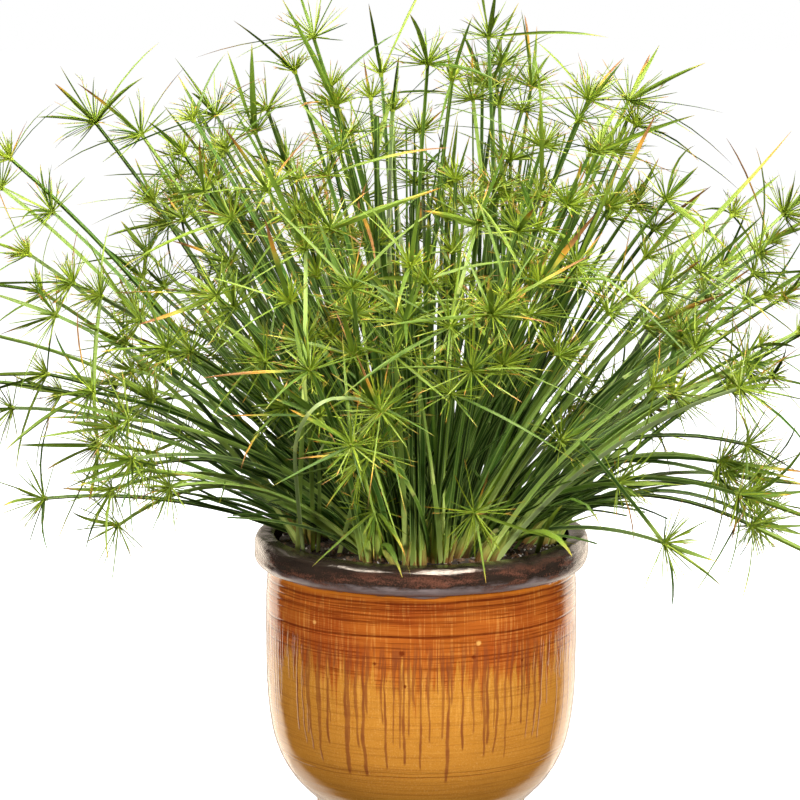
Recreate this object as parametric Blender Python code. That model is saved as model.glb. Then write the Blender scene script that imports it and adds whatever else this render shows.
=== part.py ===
"""A dwarf papyrus in a glazed stoneware pot.

Metres, +Z up. The origin is the middle of the pot's foot, on the ground, and the front is -Y.
"""

import math
import random

import bmesh
import bpy
import numpy as np
from mathutils import Matrix, Vector

# Pot: thrown in one piece, with a flat foot and a rolled rim.
POT_SIDES = 48
FOOT_RADIUS = 0.089
FOOT_HEIGHT = 0.012
BODY_OUTLINE = (
    (0.1106, 0.034),
    (0.1241, 0.0605),
    (0.1305, 0.096),
    (0.1322, 0.140),
    (0.1321, 0.183),
    (0.1308, 0.208),
)
NECK_RADIUS = 0.1305
WALL = 0.010
FLOOR_TOP = 0.014
RIM_TOP = 0.2436
RIM_BOTTOM = 0.2126
RIM_RADIUS = 0.1412
RIM_INSIDE = 0.1245
RIM_ROLL = 0.007
RIM_UNDER_ROLL = 0.010
RIM_ROLL_STEPS = 3

# The rim is uneven: above its waist it dips towards the front.
RIM_DIP = 0.007
RIM_WAIST = 0.2215
DIP_POWER = 1.5

# Soil: fills the pot, highest in the middle.
GAP = 0.0004
SOIL_EDGE = 0.2320
SOIL_RISE = 0.005
SOIL_RINGS = 3

# Crowns: the knots of root that the stems rise from, each in a socket in the soil.
CROWN_RADIUS = 0.0102
CROWN_TOP_RADIUS = 0.0094
CROWN_HEIGHT = 0.009
CROWN_SUNK = 0.006
SEAT_COUNT = 57
SEAT_SPREAD = 0.1082
SEAT_START = 2.2
SEAT_TURN = math.pi * (3 - math.sqrt(5))
SEAT_LEAN = 0.42

# Bare soil at the front left and right: how far each patch is across, how far it is behind the
# pot's axis, and its radius.
BARE_PATCHES = (
    (-0.081, -0.065, 0.035),
    (0.084, -0.062, 0.033),
)

# Stems: three-sided, tapering, bowed over by their own weight.
FEWEST_STEMS = 5
STEM_THICKNESS = (0.85, 1.12)
STEM_SEAT = 0.66
STEM_COLLAR = 0.008
STEM_RADIUS = 0.0028
STEM_TIP_RADIUS = 0.0016
STEM_SAG = math.radians(4)
STEM_SAG_FLAT = math.radians(32)
SAG_FOR_MORE_RINGS = math.radians(14)
STEM_BOW = math.radians(1)
STEM_MORE_BOW = math.radians(18)
STEM_SHIFT = 0.045
STEM_TRIES = 150
CLEARANCE = 0.0005
POT_CLEARANCE = 0.004
POT_PROBES = 7

# Umbels: long bracts and short rays round the tip of each stem.
SIXTH = math.tau / 6
HUB_RADIUS = 0.0030
HUB_LENGTH = 0.0045
BRACT_COUNTS = (2, 2, 3)
BRACT_LENGTH = (0.055, 0.105)
BRACT_LEAN = (math.radians(58), math.radians(98))
RAY_LENGTH = (0.030, 0.042)
RAY_LEAN = (math.radians(45), math.radians(85))
TOP_LEAN = math.radians(12)
SPIKE_SWAY = math.radians(18)
SPIKE_RADIUS = 0.0015
SPIKE_TRIES = 14
SHORTEST_SPIKE = 0.007

# Chance: which of the many plants that these rules give.
SEED = 2

# Lesser umbels stand below and among a tuft's main ones.
LESSER_REACH = (0.72, 0.98)
LESSER_ASIDE = (0.015, 0.045)
LESSER_TRIES = 30
BETWEEN_HUBS = 0.020

# The front of the plant, tuft by tuft, as it shows to an eye in front of it. First comes how far
# behind the pot's axis the tuft ends, then where its main umbels show in the upright plane
# through that axis: across from it and up from the ground, all in centimetres.
EYE = Vector((-0.018, -2.18, 0.67))
FRONT_TUFTS = (
    (5, (-27.0, 58.4), (-23.2, 57.4)),
    (-5, (-19.7, 55.8), (-18.9, 58.6), (-17.7, 53.0)),
    (-4, (-34.1, 55.4), (-34.9, 53.0), (-30.7, 51.0)),
    (10, (-20.5, 51.1), (-24.0, 48.8), (-22.0, 51.1)),
    (-8, (-30.2, 42.6), (-29.0, 45.2), (-26.8, 44.0)),
    (9, (-22.8, 47.5), (-23.3, 45.5), (-24.0, 43.1)),
    (-10, (-31.7, 27.4), (-27.7, 28.0)),
    (-14, (-27.6, 35.9), (-24.6, 33.6), (-24.9, 31.1)),
    (4, (-34.4, 34.5), (-37.5, 36.8), (-37.9, 41.1)),
    (-12, (-19.3, 39.3), (-20.2, 36.4), (-22.3, 36.1)),
    (-15, (-17.1, 44.0), (-13.1, 38.4)),
    (8, (-17.1, 58.9), (-16.5, 55.7), (-16.8, 53.7)),
    (0, (-13.8, 57.6), (-12.7, 59.5), (-11.1, 55.1)),
    (-3, (-10.5, 62.6), (-8.9, 65.4), (-7.1, 59.8)),
    (-6, (-6.8, 56.1), (-7.8, 54.0), (-10.2, 53.8)),
    (-12, (-9.7, 47.9), (-7.6, 49.6), (-12.8, 52.8)),
    (-20, (-5.9, 44.6), (-11.0, 43.5)),
    (8, (-3.3, 62.4), (-4.2, 60.4), (-2.4, 59.3)),
    (-5, (0.1, 62.9), (2.5, 61.9), (0.3, 56.5)),
    (6, (5.5, 65.4), (4.2, 60.3), (5.8, 60.2)),
    (-8, (2.8, 53.7), (4.6, 50.0)),
    (-20, (0.4, 45.2), (-1.3, 41.8), (-2.2, 38.9)),
    (-22, (5.9, 42.4), (2.4, 41.4), (4.2, 37.7)),
    (10, (7.8, 61.6), (10.4, 61.2), (9.8, 59.3)),
    (-6, (9.8, 57.1), (12.7, 58.7), (13.7, 60.2)),
    (-12, (8.0, 49.4), (9.7, 49.7), (12.1, 51.6)),
    (4, (17.1, 60.2), (17.8, 58.2), (16.0, 56.0)),
    (-4, (20.3, 52.0), (15.5, 51.4), (14.7, 56.0)),
    (-18, (12.9, 46.6), (9.8, 45.0), (9.0, 42.4)),
    (7, (25.8, 50.7), (30.1, 50.8)),
    (-2, (28.1, 47.5), (27.7, 45.8), (28.6, 43.9)),
    (-10, (23.2, 46.0), (19.8, 44.1), (16.0, 42.7)),
    (5, (30.2, 44.1), (31.1, 41.8), (34.8, 43.7)),
    (-12, (22.9, 39.6), (21.4, 35.9), (27.1, 38.4)),
    (-16, (20.5, 32.3), (18.8, 25.4)),
    (-8, (25.1, 30.2), (26.8, 30.1), (27.6, 27.0)),
    (-2, (30.7, 27.4), (28.4, 25.0)),
    (-17, (-2.9, 27.6), (-3.4, 34.9), (-6.8, 33.0)),
    (-20, (-0.3, 36.1), (-0.8, 34.7), (-4.5, 33.8)),
)

# The back of the plant: where each tuft's main umbel is, as its way round the axis in degrees, how
# far out it is and how high, in centimetres.
BACK_TUFTS = (
    (14, 27, 37),
    (30, 31, 45),
    (47, 25, 33),
    (60, 21, 52),
    (76, 29, 41),
    (90, 14, 57),
    (97, 26, 34),
    (114, 24, 49),
    (128, 30, 39),
    (146, 22, 54),
    (160, 30, 33),
)

# Finishes: colour, roughness and metallic value.
GLAZE = ("amber_glaze", (0.30, 0.10, 0.02), 0.15, 0.0)
SOIL_MIX = ("potting_mix", (0.03, 0.02, 0.014), 0.95, 0.0)
LEAF_GREEN = ("papyrus_green", (0.13, 0.26, 0.04), 0.55, 0.0)


class Rods:
    """The straight runs placed so far, each with a radius and an owner, and the room beside them."""

    def __init__(self):
        self.starts = np.empty((0, 3))
        self.runs = np.empty((0, 3))
        self.radii = np.empty(0)
        self.owners = np.empty(0, int)

    def add(self, points, radii, owner):
        points = np.array(points)
        self.starts = np.vstack((self.starts, points[:-1]))
        self.runs = np.vstack((self.runs, np.diff(points, axis=0)))
        self.radii = np.append(self.radii, radii)
        self.owners = np.append(self.owners, np.full(len(points) - 1, owner))

    def distances(self, start, end):
        """The least distance from one run to each run placed so far."""
        run = end - start
        apart = start - self.starts
        length2 = run @ run
        lengths2 = np.einsum("ij,ij->i", self.runs, self.runs)
        across = self.runs @ run
        own = apart @ run
        theirs = np.einsum("ij,ij->i", self.runs, apart)
        twist = np.maximum(length2 * lengths2 - across * across, 1e-12)
        here = np.clip((across * theirs - own * lengths2) / twist, 0, 1)
        there = (across * here + theirs) / lengths2
        at_start = np.clip(-own / length2, 0, 1)
        at_end = np.clip((across - own) / length2, 0, 1)
        here = np.where(there < 0, at_start, np.where(there > 1, at_end, here))
        there = np.clip(there, 0, 1)
        between = apart + here[:, None] * run - there[:, None] * self.runs
        return np.sqrt(np.einsum("ij,ij->i", between, between))

    def free(self, points, radii, owner):
        """Whether the rod through these points stays clear of all the rods of other owners."""
        others = self.owners != owner
        for start, end, radius in zip(points, points[1:], radii):
            room = self.distances(np.array(start), np.array(end)) - self.radii - radius
            if (room[others] < CLEARANCE).any():
                return False
        return True


def clear_of_pot(points):
    """Whether a rod keeps above the soil and the rim, or outside the pot."""
    for start, end in zip(points, points[1:]):
        for share in np.linspace(0, 1, POT_PROBES):
            place = start.lerp(end, share)
            out = math.hypot(place.x, place.y)
            if out < RIM_INSIDE - POT_CLEARANCE:
                lowest = RIM_TOP - POT_CLEARANCE
            elif out < RIM_RADIUS + POT_CLEARANCE:
                lowest = RIM_TOP + POT_CLEARANCE
            else:
                lowest = POT_CLEARANCE
            if place.z < lowest:
                return False
    return True


def seen_from_eye(across, up, behind):
    """The place behind the pot's axis that an eye in front sees at this place in the axis plane."""
    return EYE + (Vector((across, 0, up)) - EYE) * ((behind - EYE.y) / -EYE.y)


def main_umbels():
    """The places of each tuft's main umbels."""
    tufts = []
    for behind, *umbels in FRONT_TUFTS:
        tufts.append([seen_from_eye(x / 100, z / 100, behind / 100) for x, z in umbels])
    for degrees, out, up in BACK_TUFTS:
        turn = math.radians(degrees)
        tufts.append([Vector((out * math.cos(turn), out * math.sin(turn), up)) / 100])
    return tufts


def soil_height(radius):
    return SOIL_EDGE + SOIL_RISE * (1 - (radius / RIM_INSIDE) ** 2)


def seats_for(tufts):
    """A place for each tuft in a sunflower's pattern on the soil: the free one nearest its lean."""
    free = []
    for i in range(SEAT_COUNT):
        out = SEAT_SPREAD * math.sqrt((i + 0.5) / SEAT_COUNT)
        turn = SEAT_START + i * SEAT_TURN
        seat = Vector((out * math.cos(turn), out * math.sin(turn)))
        if all((seat - Vector((x, y))).length > radius for x, y, radius in BARE_PATCHES):
            free.append(seat)
    leans = [sum(umbels, Vector()).xy / len(umbels) for umbels in tufts]
    seats = {}
    for i in sorted(range(len(tufts)), key=lambda i: -leans[i].length):
        seats[i] = min(free, key=lambda seat: (seat - leans[i] * SEAT_LEAN).length)
        free.remove(seats[i])
    return [seats[i] for i in range(len(tufts))]


class Stem:
    """One stem: a curve from its crown to its umbel, which sags more the flatter it lies."""

    def __init__(self, base, hub, bow, thickness):
        chord = hub - base
        flat = Vector((chord.x, chord.y, 0))
        rise = math.atan2(chord.z, flat.length)
        self.sag = STEM_SAG + STEM_SAG_FLAT * (1 - math.sin(max(rise, 0))) + bow
        start = rise + self.sag
        ahead = flat.normalized() * math.cos(start) + Vector((0, 0, math.sin(start)))
        self.base = base
        self.hub = hub
        self.bend = base + ahead * (chord.length / 2 / math.cos(self.sag))
        self.radius = STEM_RADIUS * thickness
        self.tips = []

    def at(self, t):
        return self.base * (1 - t) ** 2 + self.bend * 2 * t * (1 - t) + self.hub * t * t

    def ahead(self, t):
        return ((self.bend - self.base) * (1 - t) + (self.hub - self.bend) * t).normalized()

    def radius_at(self, t):
        return self.radius + (STEM_TIP_RADIUS - self.radius) * t

    def stations(self):
        """Where along the stem its rings of corners are, from the collar to the umbel."""
        collar = STEM_COLLAR / (self.hub - self.base).length
        count = 4 if self.sag > SAG_FOR_MORE_RINGS else 3
        return [collar + (1 - collar) * i / count for i in range(count + 1)]

    def frames(self, inward):
        """The ways ahead, aside and across at each station, turned as little as the curve allows."""
        side = inward
        frames = []
        for t in self.stations():
            ahead = self.ahead(t)
            side = (side - ahead * side.dot(ahead)).normalized()
            frames.append((ahead, side, ahead.cross(side)))
        return frames


class Tuft:
    """One crown with its stems, and with None where a stem found no room."""

    def __init__(self, crown, turn, count):
        self.crown = crown
        self.turn = turn
        self.step = math.tau / count
        self.stems = []

    def inward(self, i):
        """The way from a stem's foot to the middle of its crown."""
        angle = self.turn + self.step * i
        return -Vector((math.cos(angle), math.sin(angle), 0))


def order_round_crown(crown, hubs):
    """The hubs in their order round the bundle that leads to them, and that bundle's turn."""
    middle = sum(hubs, Vector()) / len(hubs)
    upright = (middle - crown).rotation_difference(Vector((0, 0, 1)))
    sides = [upright @ (hub - middle) for hub in hubs]
    turns = [math.atan2(side.y, side.x) % math.tau for side in sides]
    order = sorted(range(len(hubs)), key=lambda i: turns[i])
    step = math.tau / len(hubs)
    drift = sum(math.remainder(turns[j] - i * step, math.tau) for i, j in enumerate(order))
    return [hubs[i] for i in order], drift / len(hubs)


def with_lesser_umbels(rng, crown, main, count, taken):
    """The main umbels of a tuft and lesser ones near them, as many as it has stems."""
    hubs = list(main)
    while len(hubs) < count:
        leader = rng.choice(main)
        for _ in range(LESSER_TRIES):
            aside = Vector([rng.gauss(0, 1) for _ in range(3)]).normalized()
            aside *= rng.uniform(*LESSER_ASIDE)
            hub = crown + (leader - crown) * rng.uniform(*LESSER_REACH) + aside
            if all((hub - other).length > BETWEEN_HUBS for other in hubs + taken):
                break
        hubs.append(hub)
    return hubs


def clear_stem(rng, rods, base, hub, crown_owner):
    """A stem whose bow and tip have moved until it touches no other, or None if there is no room."""
    for attempt in range(STEM_TRIES):
        freedom = attempt / STEM_TRIES
        shift = Vector([rng.uniform(-1, 1) for _ in range(3)]) * STEM_SHIFT * freedom
        bow = rng.uniform(-1, 1) * (STEM_BOW + STEM_MORE_BOW * freedom)
        stem = Stem(base, hub + shift, bow, rng.uniform(*STEM_THICKNESS))
        stations = stem.stations()
        points = [stem.at(t) for t in stations] + [stem.hub + stem.ahead(1) * HUB_LENGTH]
        radii = [stem.radius_at(t) for t in stations[:-1]] + [HUB_RADIUS]
        if clear_of_pot(points) and rods.free(points, radii, crown_owner):
            stem.owner = len(rods.radii)
            rods.add(points, radii, stem.owner)
            return stem
    return None


def grow_stems(rng, rods):
    """Every tuft with its stems, none touching another."""
    mains = main_umbels()
    crowns = []
    for owner, seat in enumerate(seats_for(mains)):
        top = soil_height(seat.length) + CROWN_HEIGHT - CROWN_SUNK
        crowns.append(Vector((*seat, top)))
        ends = [(*seat, top - CROWN_RADIUS - CROWN_HEIGHT), (*seat, top - CROWN_RADIUS)]
        rods.add(ends, [CROWN_RADIUS], owner)
    taken = []
    tufts = []
    for owner, (crown, main) in enumerate(zip(crowns, mains)):
        count = FEWEST_STEMS + owner % 2
        hubs, turn = order_round_crown(crown, with_lesser_umbels(rng, crown, main, count, taken))
        taken += hubs
        tuft = Tuft(crown, turn, count)
        for i, hub in enumerate(hubs):
            base = crown - tuft.inward(i) * CROWN_RADIUS * STEM_SEAT
            tuft.stems.append(clear_stem(rng, rods, base, hub, owner))
        tufts.append(tuft)
    return tufts


def grow_umbel(rng, rods, stem, inward):
    """The tips of the six spikes round a stem's hub and of the one on top of it."""
    ahead, side, across = stem.frames(inward)[-1]
    bracts = rng.sample(range(6), rng.choice(BRACT_COUNTS))
    for i in range(7):
        for attempt in range(SPIKE_TRIES):
            lengths, leans = (BRACT_LENGTH, BRACT_LEAN) if i in bracts else (RAY_LENGTH, RAY_LEAN)
            if i == 6:
                leans = (0, TOP_LEAN)
            lean = rng.uniform(*leans)
            turn = SIXTH * i + rng.uniform(-1, 1) * SPIKE_SWAY
            outward = side * math.cos(turn) + across * math.sin(turn)
            way = ahead * math.cos(lean) + outward * math.sin(lean)
            length = max(rng.uniform(*lengths) * (1 - attempt / SPIKE_TRIES), SHORTEST_SPIKE)
            points = [stem.hub + way * HUB_LENGTH, stem.hub + way * (HUB_LENGTH + length)]
            if clear_of_pot(points) and rods.free(points, [SPIKE_RADIUS], stem.owner):
                rods.add(points, [SPIKE_RADIUS], stem.owner)
                stem.tips.append(points[1])
                break
        else:
            stem.tips.append(None)


def grow_plant():
    """The whole plant: its tufts, with their stems and umbels."""
    rng = random.Random(SEED)
    rods = Rods()
    tufts = grow_stems(rng, rods)
    for tuft in tufts:
        for i, stem in enumerate(tuft.stems):
            if stem:
                grow_umbel(rng, rods, stem, tuft.inward(i))
    return tufts


def finish_of(name, colour, roughness, metallic):
    material = bpy.data.materials.get(name) or bpy.data.materials.new(name)
    material.use_nodes = True
    shader = material.node_tree.nodes["Principled BSDF"]
    shader.inputs["Base Color"].default_value = (*colour, 1)
    shader.inputs["Roughness"].default_value = roughness
    shader.inputs["Metallic"].default_value = metallic
    material.diffuse_color = (*colour, 1)
    return material


def object_from(bm, name, finish):
    mesh = bpy.data.meshes.new(name)
    bm.to_mesh(mesh)
    bm.free()
    obj = bpy.data.objects.new(name, mesh)
    bpy.context.scene.collection.objects.link(obj)
    if finish:
        mesh.materials.append(finish_of(*finish))
    return obj


def turned(name, outline, finish):
    """A closed round solid from its outline, which runs from the axis outside and back to it."""
    bm = bmesh.new()
    verts = [bm.verts.new((out, 0, up)) for out, up in outline]
    edges = [bm.edges.new(pair) for pair in zip(verts, verts[1:])]
    bmesh.ops.spin(
        bm, geom=verts + edges, cent=(0, 0, 0), axis=(0, 0, 1), angle=math.tau,
        steps=POT_SIDES, use_merge=True,
    )
    bmesh.ops.remove_doubles(bm, verts=bm.verts[:], dist=1e-6)
    bmesh.ops.recalc_face_normals(bm, faces=bm.faces[:])
    obj = object_from(bm, name, finish)
    obj.data.shade_smooth()
    obj.data.set_sharp_from_angle(angle=math.radians(40))
    return obj


def arc(out, up, radius, start, end):
    """Points on a round stretch of an outline, by its middle, radius and angles in degrees."""
    points = []
    for i in range(RIM_ROLL_STEPS + 1):
        angle = math.radians(start + (end - start) * i / RIM_ROLL_STEPS)
        points.append((out + radius * math.cos(angle), up + radius * math.sin(angle)))
    return points


def inner_wall(inset):
    """The inside of the pot's wall from its floor up, moved in by a gap."""
    return [(out - WALL - inset, up) for out, up in BODY_OUTLINE]


def rim_dip(place):
    """How far the rim lies under its full height at this place, the most at the front."""
    share = min(max((place.z - RIM_WAIST) / (RIM_TOP - RIM_WAIST), 0), 1)
    front = max(1 - place.y / RIM_RADIUS, 0) / 2
    return RIM_DIP * share * front ** DIP_POWER


def make_pot():
    outside = [(0, 0), (FOOT_RADIUS, 0), (FOOT_RADIUS, FOOT_HEIGHT), *BODY_OUTLINE]
    rim = [
        (NECK_RADIUS, RIM_BOTTOM),
        *arc(RIM_RADIUS - RIM_UNDER_ROLL, RIM_BOTTOM + RIM_UNDER_ROLL, RIM_UNDER_ROLL, -80, 0),
        *arc(RIM_RADIUS - RIM_ROLL, RIM_TOP - RIM_ROLL, RIM_ROLL, 0, 90),
        *arc(RIM_INSIDE + RIM_ROLL / 2, RIM_TOP - RIM_ROLL / 2, RIM_ROLL / 2, 90, 180),
    ]
    inside = [*reversed(inner_wall(0)), (FOOT_RADIUS - WALL, FLOOR_TOP), (0, FLOOR_TOP)]
    pot = turned("pot", outside + rim + inside, GLAZE)
    for vert in pot.data.vertices:
        vert.co.z -= rim_dip(vert.co)


def make_soil():
    edge = BODY_OUTLINE[-1][0] - WALL - GAP
    top = []
    for i in range(SOIL_RINGS + 1):
        out = edge * (1 - i / SOIL_RINGS)
        top.append((out, soil_height(out)))
    bottom = [(0, FLOOR_TOP + GAP), (FOOT_RADIUS - WALL - GAP, FLOOR_TOP + GAP)]
    return turned("soil", bottom + inner_wall(GAP) + top, SOIL_MIX)


def add_crown(bm, tuft, gap=0):
    """A low cone with a flat side for each stem, its top made of triangles round the middle."""
    count = round(math.tau / tuft.step)
    side_gap = gap / math.cos(tuft.step / 2)
    turn = tuft.turn + tuft.step / 2 - math.pi / 2
    middle = tuft.crown - Vector((0, 0, CROWN_HEIGHT / 2))
    return bmesh.ops.create_cone(
        bm, cap_ends=True, cap_tris=True, segments=count,
        radius1=CROWN_RADIUS + side_gap, radius2=CROWN_TOP_RADIUS + side_gap,
        depth=CROWN_HEIGHT + 2 * gap,
        matrix=Matrix.Translation(middle) @ Matrix.Rotation(turn, 4, "Z"),
    )["verts"]


def cut_sockets(soil, tufts):
    """Cuts room for each crown out of the soil, a little larger than the crown."""
    bm = bmesh.new()
    for tuft in tufts:
        add_crown(bm, tuft, GAP)
    cutter = object_from(bm, "crown_sockets", None)
    cutter.hide_render = True
    cutter.display_type = "WIRE"
    cut = soil.modifiers.new("sockets", "BOOLEAN")
    cut.operation = "DIFFERENCE"
    cut.solver = "EXACT"
    cut.object = cutter


def draw_out(bm, face, corners):
    """Extrudes one triangle and puts the corners of its new cap in their places."""
    cap = bmesh.ops.extrude_discrete_faces(bm, faces=[face])["faces"][0]
    for vert, corner in zip(cap.verts, corners):
        vert.co = corner
    return cap


def draw_to_point(bm, face, tip):
    """Draws one triangle out into a spike, if the spike found room."""
    if tip:
        bmesh.ops.poke(bm, faces=[face])["verts"][0].co = tip


def ring(middle, frame, radius, turn):
    """The three corners of a stem's section, the first of them turned this far from its side."""
    _, side, across = frame
    angles = [turn + math.tau * i / 3 for i in range(3)]
    return [middle + (side * math.cos(a) + across * math.sin(a)) * radius for a in angles]


def model_stem(bm, face, tuft, i):
    """Draws a stem and its umbel out of one triangle of its crown."""
    stem = tuft.stems[i]
    frames = stem.frames(tuft.inward(i))
    spots = [(vert.co - tuft.crown).length for vert in face.verts]
    first = -math.tau / 3 * spots.index(min(spots))
    for t, frame in zip(stem.stations(), frames):
        face = draw_out(bm, face, ring(stem.at(t), frame, stem.radius_at(t), first))
    ahead, side, across = frame
    top = stem.hub + ahead * HUB_LENGTH
    cap = draw_out(bm, face, ring(top, frame, HUB_RADIUS, first + SIXTH))
    flanks = list({other for edge in cap.edges for other in edge.link_faces} - {cap})
    flanks = bmesh.ops.triangulate(bm, faces=flanks, quad_method="SHORT_EDGE")["faces"]
    for flank in flanks:
        out = flank.calc_center_median() - stem.hub
        turn = math.atan2(out.dot(across), out.dot(side))
        draw_to_point(bm, flank, stem.tips[round(turn / SIXTH) % 6])
    draw_to_point(bm, cap, stem.tips[6])


def make_tuft(name, tuft):
    bm = bmesh.new()
    add_crown(bm, tuft)
    bm.normal_update()
    tops = [face for face in bm.faces if face.normal.z > 0.9]
    for i, stem in enumerate(tuft.stems):
        if stem:
            foot = tuft.crown - tuft.inward(i) * CROWN_RADIUS * STEM_SEAT
            face = min(tops, key=lambda face: (face.calc_center_median() - foot).length)
            model_stem(bm, face, tuft, i)
            tops.remove(face)
    return object_from(bm, name, LEAF_GREEN)


def main():
    for obj in list(bpy.data.objects):
        bpy.data.objects.remove(obj)
    tufts = grow_plant()
    make_pot()
    cut_sockets(make_soil(), tufts)
    for number, tuft in enumerate(tufts, 1):
        make_tuft(f"tuft_{number:02d}", tuft)
    stems = [stem for tuft in tufts for stem in tuft.stems]
    print(f"{sum(map(bool, stems))} of {len(stems)} stems found room")


main()
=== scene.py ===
# %% [markdown]
# # A dwarf papyrus in a glazed pot
#
# This lesson dresses a plain model of a potted plant until it looks real. The plain model has one
# node for the pot, one for the soil and one for each tuft of stems. Each cell below adds one
# piece or one finish. All lengths are in metres, +Z is up and the front of the plant faces -Y.

# %% Load the plain model
import math
import random

import bpy
import numpy as np
from mathutils import Matrix, Vector, noise


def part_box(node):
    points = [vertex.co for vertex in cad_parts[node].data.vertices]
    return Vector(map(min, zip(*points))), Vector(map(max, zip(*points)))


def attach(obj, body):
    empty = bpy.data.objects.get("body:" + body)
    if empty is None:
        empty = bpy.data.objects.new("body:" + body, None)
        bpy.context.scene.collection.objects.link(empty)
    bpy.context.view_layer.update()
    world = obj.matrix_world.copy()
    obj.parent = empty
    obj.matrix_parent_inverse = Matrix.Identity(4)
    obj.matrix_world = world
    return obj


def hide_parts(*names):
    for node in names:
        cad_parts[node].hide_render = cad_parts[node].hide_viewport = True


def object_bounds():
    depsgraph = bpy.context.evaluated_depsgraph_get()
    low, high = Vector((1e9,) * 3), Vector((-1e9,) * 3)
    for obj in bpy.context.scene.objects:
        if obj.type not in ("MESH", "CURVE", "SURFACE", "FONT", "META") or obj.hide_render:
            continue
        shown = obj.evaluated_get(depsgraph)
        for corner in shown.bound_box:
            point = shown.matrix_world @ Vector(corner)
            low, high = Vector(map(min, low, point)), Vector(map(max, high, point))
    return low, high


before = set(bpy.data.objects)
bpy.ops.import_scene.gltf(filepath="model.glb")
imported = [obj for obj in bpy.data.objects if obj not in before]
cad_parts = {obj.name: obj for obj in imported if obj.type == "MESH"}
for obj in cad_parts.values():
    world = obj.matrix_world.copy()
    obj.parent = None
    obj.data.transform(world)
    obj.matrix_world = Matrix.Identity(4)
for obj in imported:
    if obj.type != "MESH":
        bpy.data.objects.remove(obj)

SIZE_BEFORE = [list(corner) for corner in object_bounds()]
TUFT_NODES = sorted(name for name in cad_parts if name.startswith("tuft_"))
print(len(TUFT_NODES), "tufts, box", SIZE_BEFORE)

# %% [markdown]
# ## Working by hand in code
#
# Blender's operators act on whatever is selected, so each piece starts with nothing selected. A
# new primitive opens in edit mode, is shaped there, and goes back to object mode when it is done.


# %% Small helpers for modelling
def start_piece():
    """Leaves edit mode and selects nothing, ready for a new primitive."""
    if bpy.context.mode != "OBJECT":
        bpy.ops.object.mode_set(mode="OBJECT")
    bpy.ops.object.select_all(action="DESELECT")


def close_piece(name):
    """Ends the shaping of a piece: its place goes into its mesh, and it gets its name."""
    if bpy.context.mode != "OBJECT":
        bpy.ops.object.mode_set(mode="OBJECT")
    piece = bpy.context.object
    piece.name = piece.data.name = name
    bpy.ops.object.transform_apply(location=True, rotation=True, scale=True)
    return piece


def draw_up(distance, scale):
    """Extrudes the selected faces upwards and scales the new ring."""
    bpy.ops.mesh.extrude_region_move(TRANSFORM_OT_translate={"value": (0, 0, distance)})
    bpy.ops.transform.resize(value=(scale, scale, 1), center_override=(0, 0, 0))


def triangles(piece):
    piece.data.calc_loop_triangles()
    return len(piece.data.loop_triangles)


# %% [markdown]
# ## Shader sums as Python sums
#
# A finish is a sum of patterns. A Wire is the end of one node. Adding or multiplying wires adds
# the Math node that does the same, so a pattern reads like the sum it is.


# %% The Wire class
class Wire:
    """One socket of a material's node tree, with Python's operators for its sums."""

    def __init__(self, tree, socket):
        self.tree = tree
        self.socket = socket

    def node(self, kind, settings=None, values=None, out=0):
        """Adds a node: its settings go first, then a number or a wire for each socket."""
        made = self.tree.nodes.new("ShaderNode" + kind)
        for key, setting in (settings or {}).items():
            if key == "stops":
                stops = made.color_ramp.elements
                while len(stops) < len(setting):
                    stops.new(1)
                for stop, (place, colour) in zip(stops, setting):
                    stop.position = place
                    stop.color = (*colour, 1)
            else:
                setattr(made, key, setting)
        for key, value in (values or {}).items():
            if isinstance(value, Wire):
                self.tree.links.new(value.socket, made.inputs[key])
            else:
                made.inputs[key].default_value = value
        return Wire(self.tree, made.outputs[out])

    def sum(self, operation, *values):
        return self.node("Math", {"operation": operation}, dict(enumerate(values)))

    def __add__(self, other):
        return self.sum("ADD", self, other)

    def __radd__(self, other):
        return self.sum("ADD", other, self)

    def __sub__(self, other):
        return self.sum("SUBTRACT", self, other)

    def __rsub__(self, other):
        return self.sum("SUBTRACT", other, self)

    def __mul__(self, other):
        return self.sum("MULTIPLY", self, other)

    def __rmul__(self, other):
        return self.sum("MULTIPLY", other, self)

    def __truediv__(self, other):
        return self.sum("DIVIDE", self, other)

    def __abs__(self):
        return self.sum("ABSOLUTE", self)

    def ease(self, low, high):
        """0 below low, 1 above high and a soft step between them."""
        settings = {"interpolation_type": "SMOOTHSTEP"}
        return self.node("MapRange", settings, {0: self, 1: low, 2: high})

    def ramp(self, *stops):
        return self.node("ValToRGB", {"stops": stops}, {0: self})

    def mix(self, first, second):
        """The first colour where this is 0 and the second where it is 1."""
        colours = [c if isinstance(c, Wire) else (*c, 1) for c in (first, second)]
        settings = {"data_type": "RGBA"}
        return self.node("Mix", settings, {0: self, 6: colours[0], 7: colours[1]}, out=2)

    def stretched(self, x, y, z):
        """A place whose axes are drawn out or pressed together."""
        return self.node("Mapping", None, {"Vector": self, "Scale": (x, y, z)})

    def noise(self, scale, detail=2.0, roughness=0.5):
        values = {"Vector": self, "Scale": scale, "Detail": detail, "Roughness": roughness}
        return self.node("TexNoise", None, values)


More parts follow.
